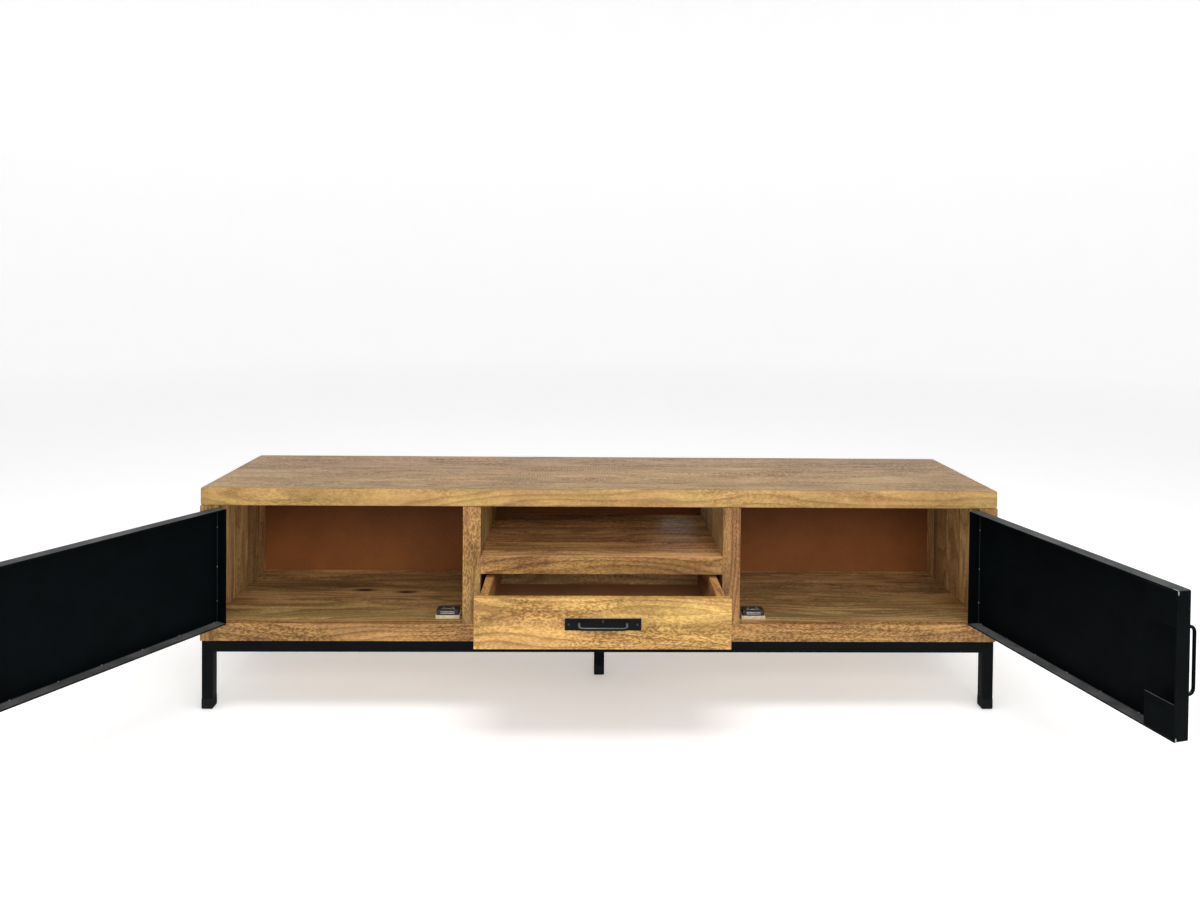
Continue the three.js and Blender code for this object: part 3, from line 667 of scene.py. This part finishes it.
class StandSteel(bpy.types.PropertyGroup):
    """Colours and small sizes of the steelwork."""

    black: tint("Black coat", "Powder coat of the frame and the doors", (0.0016, 0.0026, 0.0032))
    worn: tint("Worn coat", "Where the coat is rubbed thin along an edge", (0.030, 0.034, 0.037))
    weld: tint("Ground weld", "Bare ground weld metal", (0.42, 0.44, 0.48))
    seam: tint("Seam bead", "Coated weld round the inside of a door", (0.010, 0.014, 0.017))
    hinge: tint("Hinge steel", "Blackened hinge leaves", (0.030, 0.031, 0.033))
    hinge_worn: tint("Worn hinge", "Where the blacking is rubbed off a leaf", (0.20, 0.20, 0.20))
    hinge_screw: tint("Hinge screws", "Screws in the hinge leaves", (0.16, 0.16, 0.17))
    runner: tint("Runner steel", "Zinc-plated drawer runners", (0.10, 0.10, 0.105))
    nail: tint("Nails", "Nails of the hardboard back", (0.30, 0.30, 0.31))
    fixing: tint("Fixing screws", "Zinc screws from the frame into the floor", (0.42, 0.42, 0.44))
    pull_screw: tint("Pull screws", "Blackened screws of the drawer pull", (0.05, 0.05, 0.052))
    foot: tint("Feet", "Plastic plugs in the legs", (0.010, 0.011, 0.012))
    foot_worn: tint("Worn feet", "Rubbed edges of the feet", (0.03, 0.03, 0.03))
    plastic: tint("Plastic", "Catch bodies", (0.016, 0.010, 0.008))
    plastic_worn: tint("Worn plastic", "Rubbed edges of the catches", (0.05, 0.04, 0.035))
    pole: tint("Pole plates", "Bright steel of the magnets' poles", (0.72, 0.71, 0.70))
    tack: length("Tack weld", "Half length of a tack weld in a door", 0.0018)
    tack_pitch: length("Tack pitch", "Distance between the tack welds along a door", 0.086)
    screw: length("Screw head", "Radius of the small screw heads", 0.0026)
    coat_edge: length("Coated edge", "Rounding of the coated sheet edges", 0.0004)


class StandStage(bpy.types.PropertyGroup):
    """Floor, lights and camera."""

    floor: tint("Floor", "Pale floor and backdrop", (0.96, 0.96, 0.96))
    sky: number("Room light", "Even light from all round", 0.50, min=0.0)
    key: number("Key light", "Power of the soft front light", 44.0, unit="POWER")
    overhead: number("Top light", "Power of the soft light above", 44.0, unit="POWER")
    glow: number("Floor glow", "Light given off by the floor", 0.265, min=0.0)
    camera_at: FloatVectorProperty(
        name="Camera",
        description="Where the camera stands",
        default=(-0.0502, -2.2133, 0.9693),
        subtype="XYZ",
    )
    yaw: number("Yaw", "Turn to the right", math.radians(1.14), subtype="ANGLE")
    pitch: number("Pitch", "Tilt down", math.radians(1.03), subtype="ANGLE")
    roll: number("Roll", "Lean of the camera", math.radians(-0.55), subtype="ANGLE")
    lens: number("Lens", "Focal length on a 36 mm sensor", 27.04, unit="CAMERA")
    shift: number("Shift", "Vertical shift of the lens", -0.127)


# ---- operators ----------------------------------------------------------
class STAND_OT_shared_effects(bpy.types.Operator):
    """Build the grain, wear and coat effects that the finishes share"""

    bl_idname = "tv_stand.shared_effects"
    bl_label = "Shared effects"

    def execute(self, context):
        make_mango_grain()
        make_edge_wear()
        make_coat_texture()
        make_joined_faces()
        return {"FINISHED"}


class STAND_OT_carcass(bpy.types.Operator):
    """Finish the top, stiles, rails, panels, floor and shelf in mango wood"""

    bl_idname = "tv_stand.carcass"
    bl_label = "Wooden carcass"

    def execute(self, context):
        wood = context.scene.stand_wood
        edge = wood.eased_edge
        front = (wood.light, wood.dark, wood.streak)
        # the floor and panels take the brightened inside tones, painted light
        inside = (wood.brightened_inside_light, wood.brightened_inside_dark, wood.streak)
        top = wood_finish(
            "top_boards",
            (wood.top_light, wood.top_dark, wood.streak),
            LENGTHWISE,
            (wood.top_board, 0.031, 0.03, 0.10),
            (0.9, 0.55, 0.35, 0.25),
            # painted sheen: the top's upward faces greyer and darker, as a glancing reflection
            painted_lid=(0.86, 0.80),
            sawn=0.5,
        )
        rails = wood_finish("rail_wood", front, LENGTHWISE, ONE_BOARD, (0.9, 1.0, 0.15, 0.1))
        posts = wood_finish(
            "post_wood", front, UPRIGHT_FRONT, (0.2, 0.0, 0.0, 0.10), (1.1, 0.9, 0.35, 0.3)
        )
        floor = wood_finish(
            "floor_boards",
            inside,
            LENGTHWISE,
            (wood.floor_board, 0.04, 0.03, 0.17),
            (1.1, 0.5, 0.75, 1.0),
            knots=((-0.584, 0.030, 0.0), (-0.477, 0.016, 0.0)),
        )
        lipping = 48 * MM
        shelf_joint = -(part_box("middle_shelf")[0].y + lipping)
        shelf = wood_finish(
            "shelf_boards",
            front,
            LENGTHWISE,
            (wood.floor_board, shelf_joint, 0.0, 0.20),
            (1.0, 0.75, 0.5, 0.35),
            # painted light: the shelf's upward faces brighter
            painted_lid=(0.95, 1.6),
        )
        panels = wood_finish(
            "panel_boards",
            inside,
            UPRIGHT_SIDE,
            (wood.panel_board, 0.02, 0.03, 0.24),
            (1.1, 0.5, 0.55, 0.35),
        )
        dress("top_slab", top)
        dress("bottom_front_rail", rails, edge)
        dress("bottom_panel", floor, edge)
        dress("middle_shelf", shelf, edge)
        for side, _ in SIDES:
            dress(f"{side}_side_stile", posts, edge)
            dress(f"{side}_divider_stile", posts, edge)
            dress(f"{side}_side_panel", panels, edge)
            dress(f"{side}_divider_panel", panels, edge)
        return {"FINISHED"}


class STAND_OT_back_panel(bpy.types.Operator):
    """Finish the hardboard back and nail it on"""

    bl_idname = "tv_stand.back_panel"
    bl_label = "Hardboard back"

    def execute(self, context):
        hardboard = context.scene.stand_wood.hardboard
        dress("back_panel", hardboard_finish("back_hardboard", hardboard), 0.4 * MM)
        nail = bare_metal_finish("nail_steel", context.scene.stand_steel.nail, 0.45)
        low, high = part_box("back_panel")
        height = high.z - low.z
        inset = 9 * MM
        reach = high.x - low.x - 2 * inset
        along = 16
        spots = []
        for row in (low.z + inset, high.z - inset):
            spots += [(low.x + inset + reach * i / (along - 1), row) for i in range(along)]
        for column in (low.x + inset, high.x - inset):
            spots += [(column, low.z + height * share) for share in (0.25, 0.5, 0.75)]
        for side, _ in SIDES:
            near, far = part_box(f"{side}_divider_panel")
            column = (near.x + far.x) / 2
            spots += [(column, low.z + height * share) for share in (0.25, 0.45, 0.65, 0.85)]
        head = (1.9 * MM, 1.9 * MM, 0.35 * MM)
        sunk = 0.34 * MM

        def nails(shape):
            for x, z in spots:
                place = facing((0.0, 1.0, 0.0), (x, high.y - sunk, z))
                add_bead(shape, place, head, seed=x)

        add_piece("back_panel_nails", nails, nail, "stand")
        return {"FINISHED"}


class STAND_OT_underframe(bpy.types.Operator):
    """Finish the square-tube underframe, its welds, feet and fixing screws"""

    bl_idname = "tv_stand.underframe"
    bl_label = "Steel underframe"

    def execute(self, context):
        steel = context.scene.stand_steel
        coat = coated_finish("frame_coat", steel.black, 0.50, steel.worn, gloss=0.06)
        rubber = coated_finish(
            "foot_rubber", steel.foot, 0.62, steel.foot_worn, scale=500.0, wear=0.2
        )
        rails = [f"{end}_frame_rail" for end in ("front", "back", "left", "centre", "right")]
        corners = [f"{end}_{side}" for end in ("front", "back") for side, _ in SIDES]
        for rail in rails:
            dress(rail, coat)
        for leg in [*(f"{corner}_leg" for corner in corners), "centre_leg"]:
            dress(leg, coat)
        for foot in [*(f"{corner}_foot" for corner in corners), "centre_foot"]:
            dress(foot, rubber, 0.4 * MM)

        low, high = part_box("front_frame_rail")
        tube = high.z - low.z
        lump = (1.9 * MM, 1.5 * MM, 0.9 * MM)
        pitch = 2.2 * MM
        short = 2 * MM
        run = tube - 2 * short

        def add_weld(shape, start, direction):
            end = start + Vector(direction) * run
            add_bead_row(shape, Matrix.Identity(4), start, end, lump, pitch)

        def welds(shape):
            for corner in corners:
                leg_low, leg_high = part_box(f"{corner}_leg")
                inner = leg_high.x if leg_low.x < 0 else leg_low.x
                add_weld(shape, Vector((inner, leg_low.y + short, low.z)), (0.0, 1.0, 0.0))
            for side in ("left", "centre", "right"):
                rail_low, rail_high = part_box(f"{side}_frame_rail")
                for y in (rail_low.y, rail_high.y):
                    for x in (rail_low.x, rail_high.x):
                        add_weld(shape, Vector((x, y, low.z + short)), (0.0, 0.0, 1.0))
            leg_low, leg_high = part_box("centre_leg")
            for y in (leg_low.y, leg_high.y):
                add_weld(shape, Vector((leg_low.x + short, y, low.z)), (1.0, 0.0, 0.0))

        add_piece("underframe_welds", welds, coat, "stand")

        def fixings(shape):
            for end in ("front", "back"):
                rail_low, rail_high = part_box(f"{end}_frame_rail")
                y = (rail_low.y + rail_high.y) / 2
                for x in (-0.78, -0.45, -0.10, 0.10, 0.45, 0.78):
                    down = facing((0.0, 0.0, -1.0), (x, y, low.z))
                    add_screw(shape, down, 4.5 * MM, 1.6 * MM)

        zinc = bare_metal_finish("fixing_zinc", steel.fixing, 0.38)
        add_piece("underframe_fixing_screws", fixings, zinc, "stand")
        return {"FINISHED"}


class STAND_OT_doors(bpy.types.Operator):
    """Finish the steel tray doors with their corner plates, tack welds and ground corners"""

    bl_idname = "tv_stand.doors"
    bl_label = "Steel doors"

    def execute(self, context):
        steel = context.scene.stand_steel
        # the door's upward faces painted lighter, partly as dust and partly as painted light from
        # above
        coat = coated_finish("door_coat", steel.black, 0.47, steel.worn, dust_and_top_light=0.42)
        bright = bare_metal_finish("ground_weld", steel.weld, 0.34)
        seam_coat = coated_finish("seam_coat", steel.seam, 0.40, steel.worn, gloss=0.2)
        sheet_low, sheet_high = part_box("left_door_sheet")
        height = sheet_high.z - sheet_low.z
        gap = 1.5 * MM  # from the hinge pin to the door
        bar = 3 * MM  # thickness of the bar bent round the door
        inner_face = 1.8 * MM  # just clear of the sheet
        depth = 28 * MM  # of the whole tray
        for side, s in SIDES:
            place = door_place(side, s)
            width = door_width(side, s)
            near = gap + bar
            far = gap + width - bar
            dress(f"{side}_door_sheet", coat, steel.coat_edge)
            dress(f"{side}_door_frame", coat, steel.coat_edge)
            for level in ("lower", "upper"):
                dress(f"{side}_door_{level}_corner_plate", coat, steel.coat_edge)
            dress(f"{side}_door_handle", coat)

            def seams(shape):
                lump = (2.6 * MM, 0.9 * MM, 0.9 * MM)
                rim = [(near, bar), (far, bar), (far, height - bar), (near, height - bar)]
                for (x0, z0), (x1, z1) in zip(rim, rim[1:] + rim[:1]):
                    start = Vector((x0, inner_face, z0))
                    end = Vector((x1, inner_face, z1))
                    add_bead_row(shape, place, start, end, lump, 4.2 * MM)

            def tacks(shape):
                lump = (steel.tack, 1.0 * MM, 1.0 * MM)
                clear = 0.8 * MM
                count = int((far - near) / steel.tack_pitch)
                start = near + (far - near - count * steel.tack_pitch) / 2
                for i in range(count + 1):
                    x = start + i * steel.tack_pitch + 4 * MM * math.sin(3.1 * i)
                    for z in (bar + clear, height - bar - clear):
                        spot = Matrix.Translation((x, inner_face + clear, z))
                        add_bead(shape, place @ spot, lump, seed=i + z)
                upright = Matrix.Rotation(math.pi / 2, 4, "Y")
                for share in (0.18, 0.5, 0.82):
                    z = height * share + 3 * MM * math.sin(9 * share)
                    for x in (near + clear, far - clear):
                        spot = Matrix.Translation((x, inner_face + clear, z)) @ upright
                        add_bead(shape, place @ spot, lump, seed=share + x)

            def corners(shape):
                y = depth - 2.2 * MM
                for z, inward in ((height, -1), (0.0, 1)):
                    spot = Matrix.Translation((far - 3 * MM, y, z + 0.15 * MM * inward))
                    add_bead(shape, place @ spot, (6 * MM, 1.9 * MM, 0.45 * MM), seed=z + 2.0)
                    spot = Matrix.Translation((far + bar - 0.1 * MM, y, z + 4.5 * MM * inward))
                    add_bead(shape, place @ spot, (0.35 * MM, 1.7 * MM, 4 * MM), seed=z + 5.0)

            def handle_welds(shape):
                for foot in bow_feet(side, place):
                    add_weld_ring(shape, place, foot)

            body = f"{side}_door"
            add_piece(f"{side}_door_seam_bead", seams, seam_coat, body)
            add_piece(f"{side}_door_tack_welds", tacks, bright, body)
            add_piece(f"{side}_door_ground_corners", corners, bright, body)
            add_piece(f"{side}_door_handle_welds", handle_welds, coat, body)
        return {"FINISHED"}


class STAND_OT_hinges(bpy.types.Operator):
    """Finish the butt hinges and put in their screws"""

    bl_idname = "tv_stand.hinges"
    bl_label = "Hinges"

    def execute(self, context):
        steel = context.scene.stand_steel
        blackened = coated_finish(
            "hinge_black", steel.hinge, 0.42, steel.hinge_worn, metal=0.55, gloss=0.3
        )
        screws = bare_metal_finish("hinge_screw_steel", steel.hinge_screw, 0.42)
        stile_leaf = 0.33 * MM  # from the pin to just under the face of the leaf on the stile
        door_leaf = 0.23 * MM  # the same for the leaf on the door, which closes against it
        inset = 6 * MM
        shares = (0.18, 0.5, 0.82)
        for side, s in SIDES:
            place = door_place(side, s)
            pin = abs(JOINTS[f"{side}_door_hinge"]["pos_m"][0])
            fixed_spots = []
            moving_spots = []
            for level in ("lower", "upper"):
                fixed = f"{side}_{level}_hinge_stile_leaf"
                moving = f"{side}_{level}_hinge_door_leaf"
                dress(fixed, blackened, 0.2 * MM)
                dress(moving, blackened, 0.2 * MM)
                low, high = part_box(fixed)
                for share in shares:
                    z = low.z + (high.z - low.z) * share
                    fixed_spots.append(Vector((s * (pin + stile_leaf), high.y - inset, z)))
                near, far = local_box(moving, place)
                for share in shares:
                    z = near.z + (far.z - near.z) * share
                    moving_spots.append(Vector((door_leaf, far.y - inset, z)))

            def add_screws(shape, turned, direction, spots):
                for spot in spots:
                    add_screw(shape, turned @ facing(direction, spot), 2.6 * MM, 0.22 * MM)

            def fixed_screws(shape):
                add_screws(shape, Matrix.Identity(4), (-s, 0.0, 0.0), fixed_spots)

            def moving_screws(shape):
                add_screws(shape, place, (-1.0, 0.0, 0.0), moving_spots)

            body = f"{side}_door"
            add_piece(f"{side}_hinge_stile_screws", fixed_screws, screws, "stand")
            add_piece(f"{side}_hinge_door_screws", moving_screws, screws, body)
        return {"FINISHED"}


class STAND_OT_catches(bpy.types.Operator):
    """Finish the magnetic catches, their pole plates, sockets and screws"""

    bl_idname = "tv_stand.catches"
    bl_label = "Magnetic catches"

    def execute(self, context):
        wood = context.scene.stand_wood
        steel = context.scene.stand_steel
        pale = (wood.pale, tuple(0.8 * part for part in wood.pale), wood.light)
        block = wood_finish(
            "spacer_wood", pale, LENGTHWISE, (0.4, 0.2, 0.0, 0.0), (0.5, 0.35, 0.1, 0.0)
        )
        plastic = coated_finish(
            "catch_plastic", steel.plastic, 0.42, steel.plastic_worn, gloss=0.5, scale=420.0
        )
        poles = bare_metal_finish("pole_steel", steel.pole, 0.3, brushed=(1400.0, 90.0, 90.0))
        for side, _ in SIDES:
            dress(f"{side}_catch_block", block, 0.6 * MM)
            dress(f"{side}_magnetic_catch", plastic, 0.8 * MM)
            low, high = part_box(f"{side}_magnetic_catch")
            middle = (low + high) / 2

            def pole_plates(shape):
                for level in (0.36, 0.64):
                    z = low.z + (high.z - low.z) * level
                    add_bar(
                        shape,
                        (middle.x - 16 * MM, low.y - 0.7 * MM, z - 0.7 * MM),
                        (middle.x + 16 * MM, low.y + 2 * MM, z + 0.7 * MM),
                        0.25 * MM,
                    )
                add_bar(
                    shape,
                    (middle.x - 15 * MM, middle.y - 5.5 * MM, high.z - 0.5 * MM),
                    (middle.x + 15 * MM, middle.y - 2.5 * MM, high.z + 0.5 * MM),
                    0.25 * MM,
                )

            def rim(shape):
                wall = 1.4 * MM
                eased = 0.3 * MM
                x0, x1 = low.x + 5 * MM, high.x - 5 * MM
                y0, y1 = low.y + 4 * MM, high.y - 4 * MM
                z0, z1 = high.z - 0.3 * MM, high.z + 0.7 * MM
                add_bar(shape, (x0, y0, z0), (x1, y0 + wall, z1), eased)
                add_bar(shape, (x0, y1 - wall, z0), (x1, y1, z1), eased)
                add_bar(shape, (x0, y0 + wall, z0), (x0 + wall, y1 - wall, z1), eased)
                add_bar(shape, (x1 - wall, y0 + wall, z0), (x1, y1 - wall, z1), eased)

            def screws(shape):
                for dx in (-10 * MM, 10 * MM):
                    spot = (middle.x + dx, middle.y + 4.5 * MM, high.z - 0.2 * MM)
                    add_screw(shape, facing((0.0, 0.0, 1.0), spot), 2.4 * MM, 0.9 * MM)

            add_piece(f"{side}_catch_pole_plates", pole_plates, poles, "stand")
            add_piece(f"{side}_catch_rim", rim, plastic, "stand")
            add_piece(f"{side}_catch_screws", screws, poles, "stand")
        return {"FINISHED"}


class STAND_OT_drawer(bpy.types.Operator):
    """Finish the drawer, its pull and the screws that hold it"""

    bl_idname = "tv_stand.drawer"
    bl_label = "Drawer"

    def execute(self, context):
        wood = context.scene.stand_wood
        steel = context.scene.stand_steel
        face = (wood.drawer_light, wood.drawer_dark, wood.streak)
        # the drawer's back takes the brightened inside tones, painted light
        inside = (wood.brightened_inside_light, wood.brightened_inside_dark, wood.streak)
        plain = (wood.light, wood.dark, wood.streak)
        front = wood_finish("drawer_front_wood", face, LENGTHWISE, ONE_BOARD, (0.9, 1.0, 0.3, 0.2))
        walls = wood_finish(
            "drawer_side_wood", plain, FRONT_TO_BACK, (0.5, 0.0, 0.0, 0.1), (1.0, 0.6, 0.2, 0.1)
        )
        rear = wood_finish(
            "drawer_back_wood", inside, LENGTHWISE, (0.9, 0.6, 0.0, 0.0), (1.0, 0.8, 0.3, 0.3)
        )
        dress("drawer_front", front, wood.eased_edge)
        dress("drawer_back", rear, wood.eased_edge)
        for side, _ in SIDES:
            dress(f"drawer_{side}_side", walls, wood.eased_edge)
        # the drawer bottom takes the brightened hardboard, painted light
        dress("drawer_bottom", hardboard_finish("brightened_drawer_hardboard", wood.brightened_drawer_hardboard))
        # the pull's upward faces painted much lighter: a painted highlight along the top of the bow,
        # with some dust
        coat = coated_finish("pull_coat", steel.black, 0.42, steel.worn, gloss=0.10, dust_and_top_light=0.95)
        dress("drawer_pull", coat, 0.5 * MM)
        low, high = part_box("drawer_pull")
        plate = 3 * MM
        face_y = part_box("drawer_front")[0].y - plate
        middle_z = (low.z + high.z) / 2

        def pull_screws(shape):
            for x, lift in ((low.x + 8 * MM, 0.0), (high.x - 8 * MM, 0.0), (0.0, 6.5 * MM)):
                place = facing((0.0, -1.0, 0.0), (x, face_y, middle_z + lift))
                add_screw(shape, place, steel.screw, 1.1 * MM)

        def bow_welds(shape):
            for x in (-50 * MM, 50 * MM):
                add_weld_ring(shape, Matrix.Identity(4), Vector((x, face_y, middle_z)))

        blackened = bare_metal_finish("pull_screw_steel", steel.pull_screw, 0.4)
        add_piece("drawer_pull_screws", pull_screws, blackened, "drawer")
        add_piece("drawer_pull_welds", bow_welds, coat, "drawer")
        return {"FINISHED"}


class STAND_OT_runners(bpy.types.Operator):
    """Finish the drawer runners and put in their screws"""

    bl_idname = "tv_stand.runners"
    bl_label = "Drawer runners"

    def execute(self, context):
        steel = context.scene.stand_steel
        zinc = bare_metal_finish("runner_zinc", steel.runner, 0.4, brushed=(900.0, 40.0, 900.0))
        for side, s in SIDES:
            dress(f"{side}_runner_channel", zinc, 0.3 * MM)
            dress(f"{side}_runner_drawer_bar", zinc, 0.3 * MM)
            low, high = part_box(f"{side}_runner_drawer_bar")
            reach = high.y - low.y
            x = s * max(abs(low.x), abs(high.x))
            z = (low.z + high.z) / 2

            def screws(shape):
                for share in (0.08, 0.34, 0.66, 0.92):
                    spot = (x - s * 0.1 * MM, low.y + reach * share, z)
                    add_screw(shape, facing((s, 0.0, 0.0), spot), 3.0 * MM, 0.45 * MM)

            add_piece(f"{side}_runner_screws", screws, zinc, "drawer")
        return {"FINISHED"}


class STAND_OT_stage(bpy.types.Operator):
    """Lay the floor and set the lights and the camera"""

    bl_idname = "tv_stand.stage"
    bl_label = "Stage"

    def execute(self, context):
        scene = context.scene
        stage = scene.stand_stage
        scene.view_settings.view_transform = "Standard"
        self.lay_floor(stage)
        self.light_room(scene, stage)
        self.set_camera(scene, stage)
        return {"FINISHED"}

    def lay_floor(self, stage):
        """A round floor that sweeps up into a backdrop far out on every side."""
        shape = bmesh.new()
        flat, sweep, top, steps, slices = 9.0, 3.5, 7.0, 10, 96
        profile = [(flat, 0.0)]
        for i in range(1, steps + 1):
            turn = math.pi / 2 * i / steps
            profile.append((flat + sweep * math.sin(turn), sweep * (1 - math.cos(turn))))
        profile.append((flat + sweep, top))
        rings = []
        turns = [2 * math.pi * i / slices for i in range(slices)]
        for radius, z in profile:
            spots = [(radius * math.cos(turn), radius * math.sin(turn), z) for turn in turns]
            rings.append([shape.verts.new(spot) for spot in spots])
        shape.faces.new(rings[0])
        for inner, outer in zip(rings, rings[1:]):
            for i in range(slices):
                j = (i + 1) % slices
                shape.faces.new((inner[i], outer[i], outer[j], inner[j]))
        mesh = bpy.data.meshes.new("studio_floor")
        shape.to_mesh(mesh)
        shape.free()
        mesh.polygons.foreach_set("use_smooth", [True] * len(mesh.polygons))
        dull = {"Specular_IOR_Level": 0.1, "Roughness": 0.9}
        material, nodes, shader, place = new_material("studio_floor", **dull)
        shade = nodes.fade(nodes.noise(place, 3.0), 0.3, 0.7)
        slightly_darker = tuple(0.99 * part for part in stage.floor)
        nodes.feed(shader["Base Color"], nodes.blend(shade, stage.floor, slightly_darker))
        nodes.feed(shader["Emission Color"], (1.0, 1.0, 1.0))
        nodes.feed(shader["Emission Strength"], stage.glow)
        mesh.materials.append(material)
        floor = bpy.data.objects.new("studio_floor", mesh)
        bpy.context.scene.collection.objects.link(floor)

    def light_room(self, scene, stage):
        world = bpy.data.worlds.new("studio_light")
        world.use_nodes = True
        background = world.node_tree.nodes["Background"].inputs
        background["Color"].default_value = (1.0, 1.0, 1.0, 1.0)
        background["Strength"].default_value = stage.sky
        scene.world = world
        middle = Vector((0.0, 0.0, 0.3))
        for name, at, power in (
            ("key_light", (0.5, -3.25, 1.8), stage.key),
            ("top_light", (0.0, -0.7, 3.2), stage.overhead),
        ):
            lamp = bpy.data.lights.new(name, "AREA")
            lamp.shape = "RECTANGLE"
            lamp.size = 2.4
            lamp.size_y = 1.3
            lamp.energy = power
            light = bpy.data.objects.new(name, lamp)
            scene.collection.objects.link(light)
            aim = (middle - Vector(at)).to_track_quat("-Z", "Y").to_matrix().to_4x4()
            light.matrix_world = Matrix.Translation(at) @ aim

    def set_camera(self, scene, stage):
        lens = bpy.data.cameras.new("camera")
        lens.sensor_width = 36.0
        lens.lens = stage.lens
        lens.shift_y = stage.shift
        camera = bpy.data.objects.new("camera", lens)
        scene.collection.objects.link(camera)
        yaw, pitch, roll = stage.yaw, stage.pitch, stage.roll
        level = Vector((math.sin(yaw), math.cos(yaw), 0.0)) * math.cos(pitch)
        ahead = level - Vector((0.0, 0.0, math.sin(pitch)))
        right = Vector((math.cos(yaw), -math.sin(yaw), 0.0))
        above = right.cross(ahead)
        leaned_right = math.cos(roll) * right - math.sin(roll) * above
        leaned_above = math.sin(roll) * right + math.cos(roll) * above
        turned = Matrix((leaned_right, leaned_above, -ahead)).transposed().to_4x4()
        camera.matrix_world = Matrix.Translation(stage.camera_at) @ turned
        scene.camera = camera


class STAND_PT_panel(bpy.types.Panel):
    """Lists the steps that finish the stand"""

    bl_label = "TV Stand"
    bl_idname = "STAND_PT_panel"
    bl_space_type = "VIEW_3D"
    bl_region_type = "UI"
    bl_category = "TV Stand"

    def draw(self, context):
        for name in SETTINGS:
            settings = getattr(context.scene, name)
            box = self.layout.box()
            for setting in settings.__annotations__:
                box.prop(settings, setting)
        for step in STEPS:
            self.layout.operator(step.bl_idname)


SETTINGS = {"stand_wood": StandWood, "stand_steel": StandSteel, "stand_stage": StandStage}
STEPS = (
    STAND_OT_shared_effects,
    STAND_OT_stage,
    STAND_OT_carcass,
    STAND_OT_back_panel,
    STAND_OT_underframe,
    STAND_OT_doors,
    STAND_OT_hinges,
    STAND_OT_catches,
    STAND_OT_drawer,
    STAND_OT_runners,
)


def register():
    for settings in SETTINGS.values():
        bpy.utils.register_class(settings)
    for name, settings in SETTINGS.items():
        setattr(bpy.types.Scene, name, PointerProperty(type=settings))
    for step in (*STEPS, STAND_PT_panel):
        bpy.utils.register_class(step)


def unregister():
    for step in reversed((*STEPS, STAND_PT_panel)):
        bpy.utils.unregister_class(step)
    for name in SETTINGS:
        delattr(bpy.types.Scene, name)
    for settings in reversed(SETTINGS.values()):
        bpy.utils.unregister_class(settings)


def main():
    register()
    for step in STEPS:
        prefix, name = step.bl_idname.split(".")
        getattr(getattr(bpy.ops, prefix), name)()


if __name__ == "__main__":
    main()
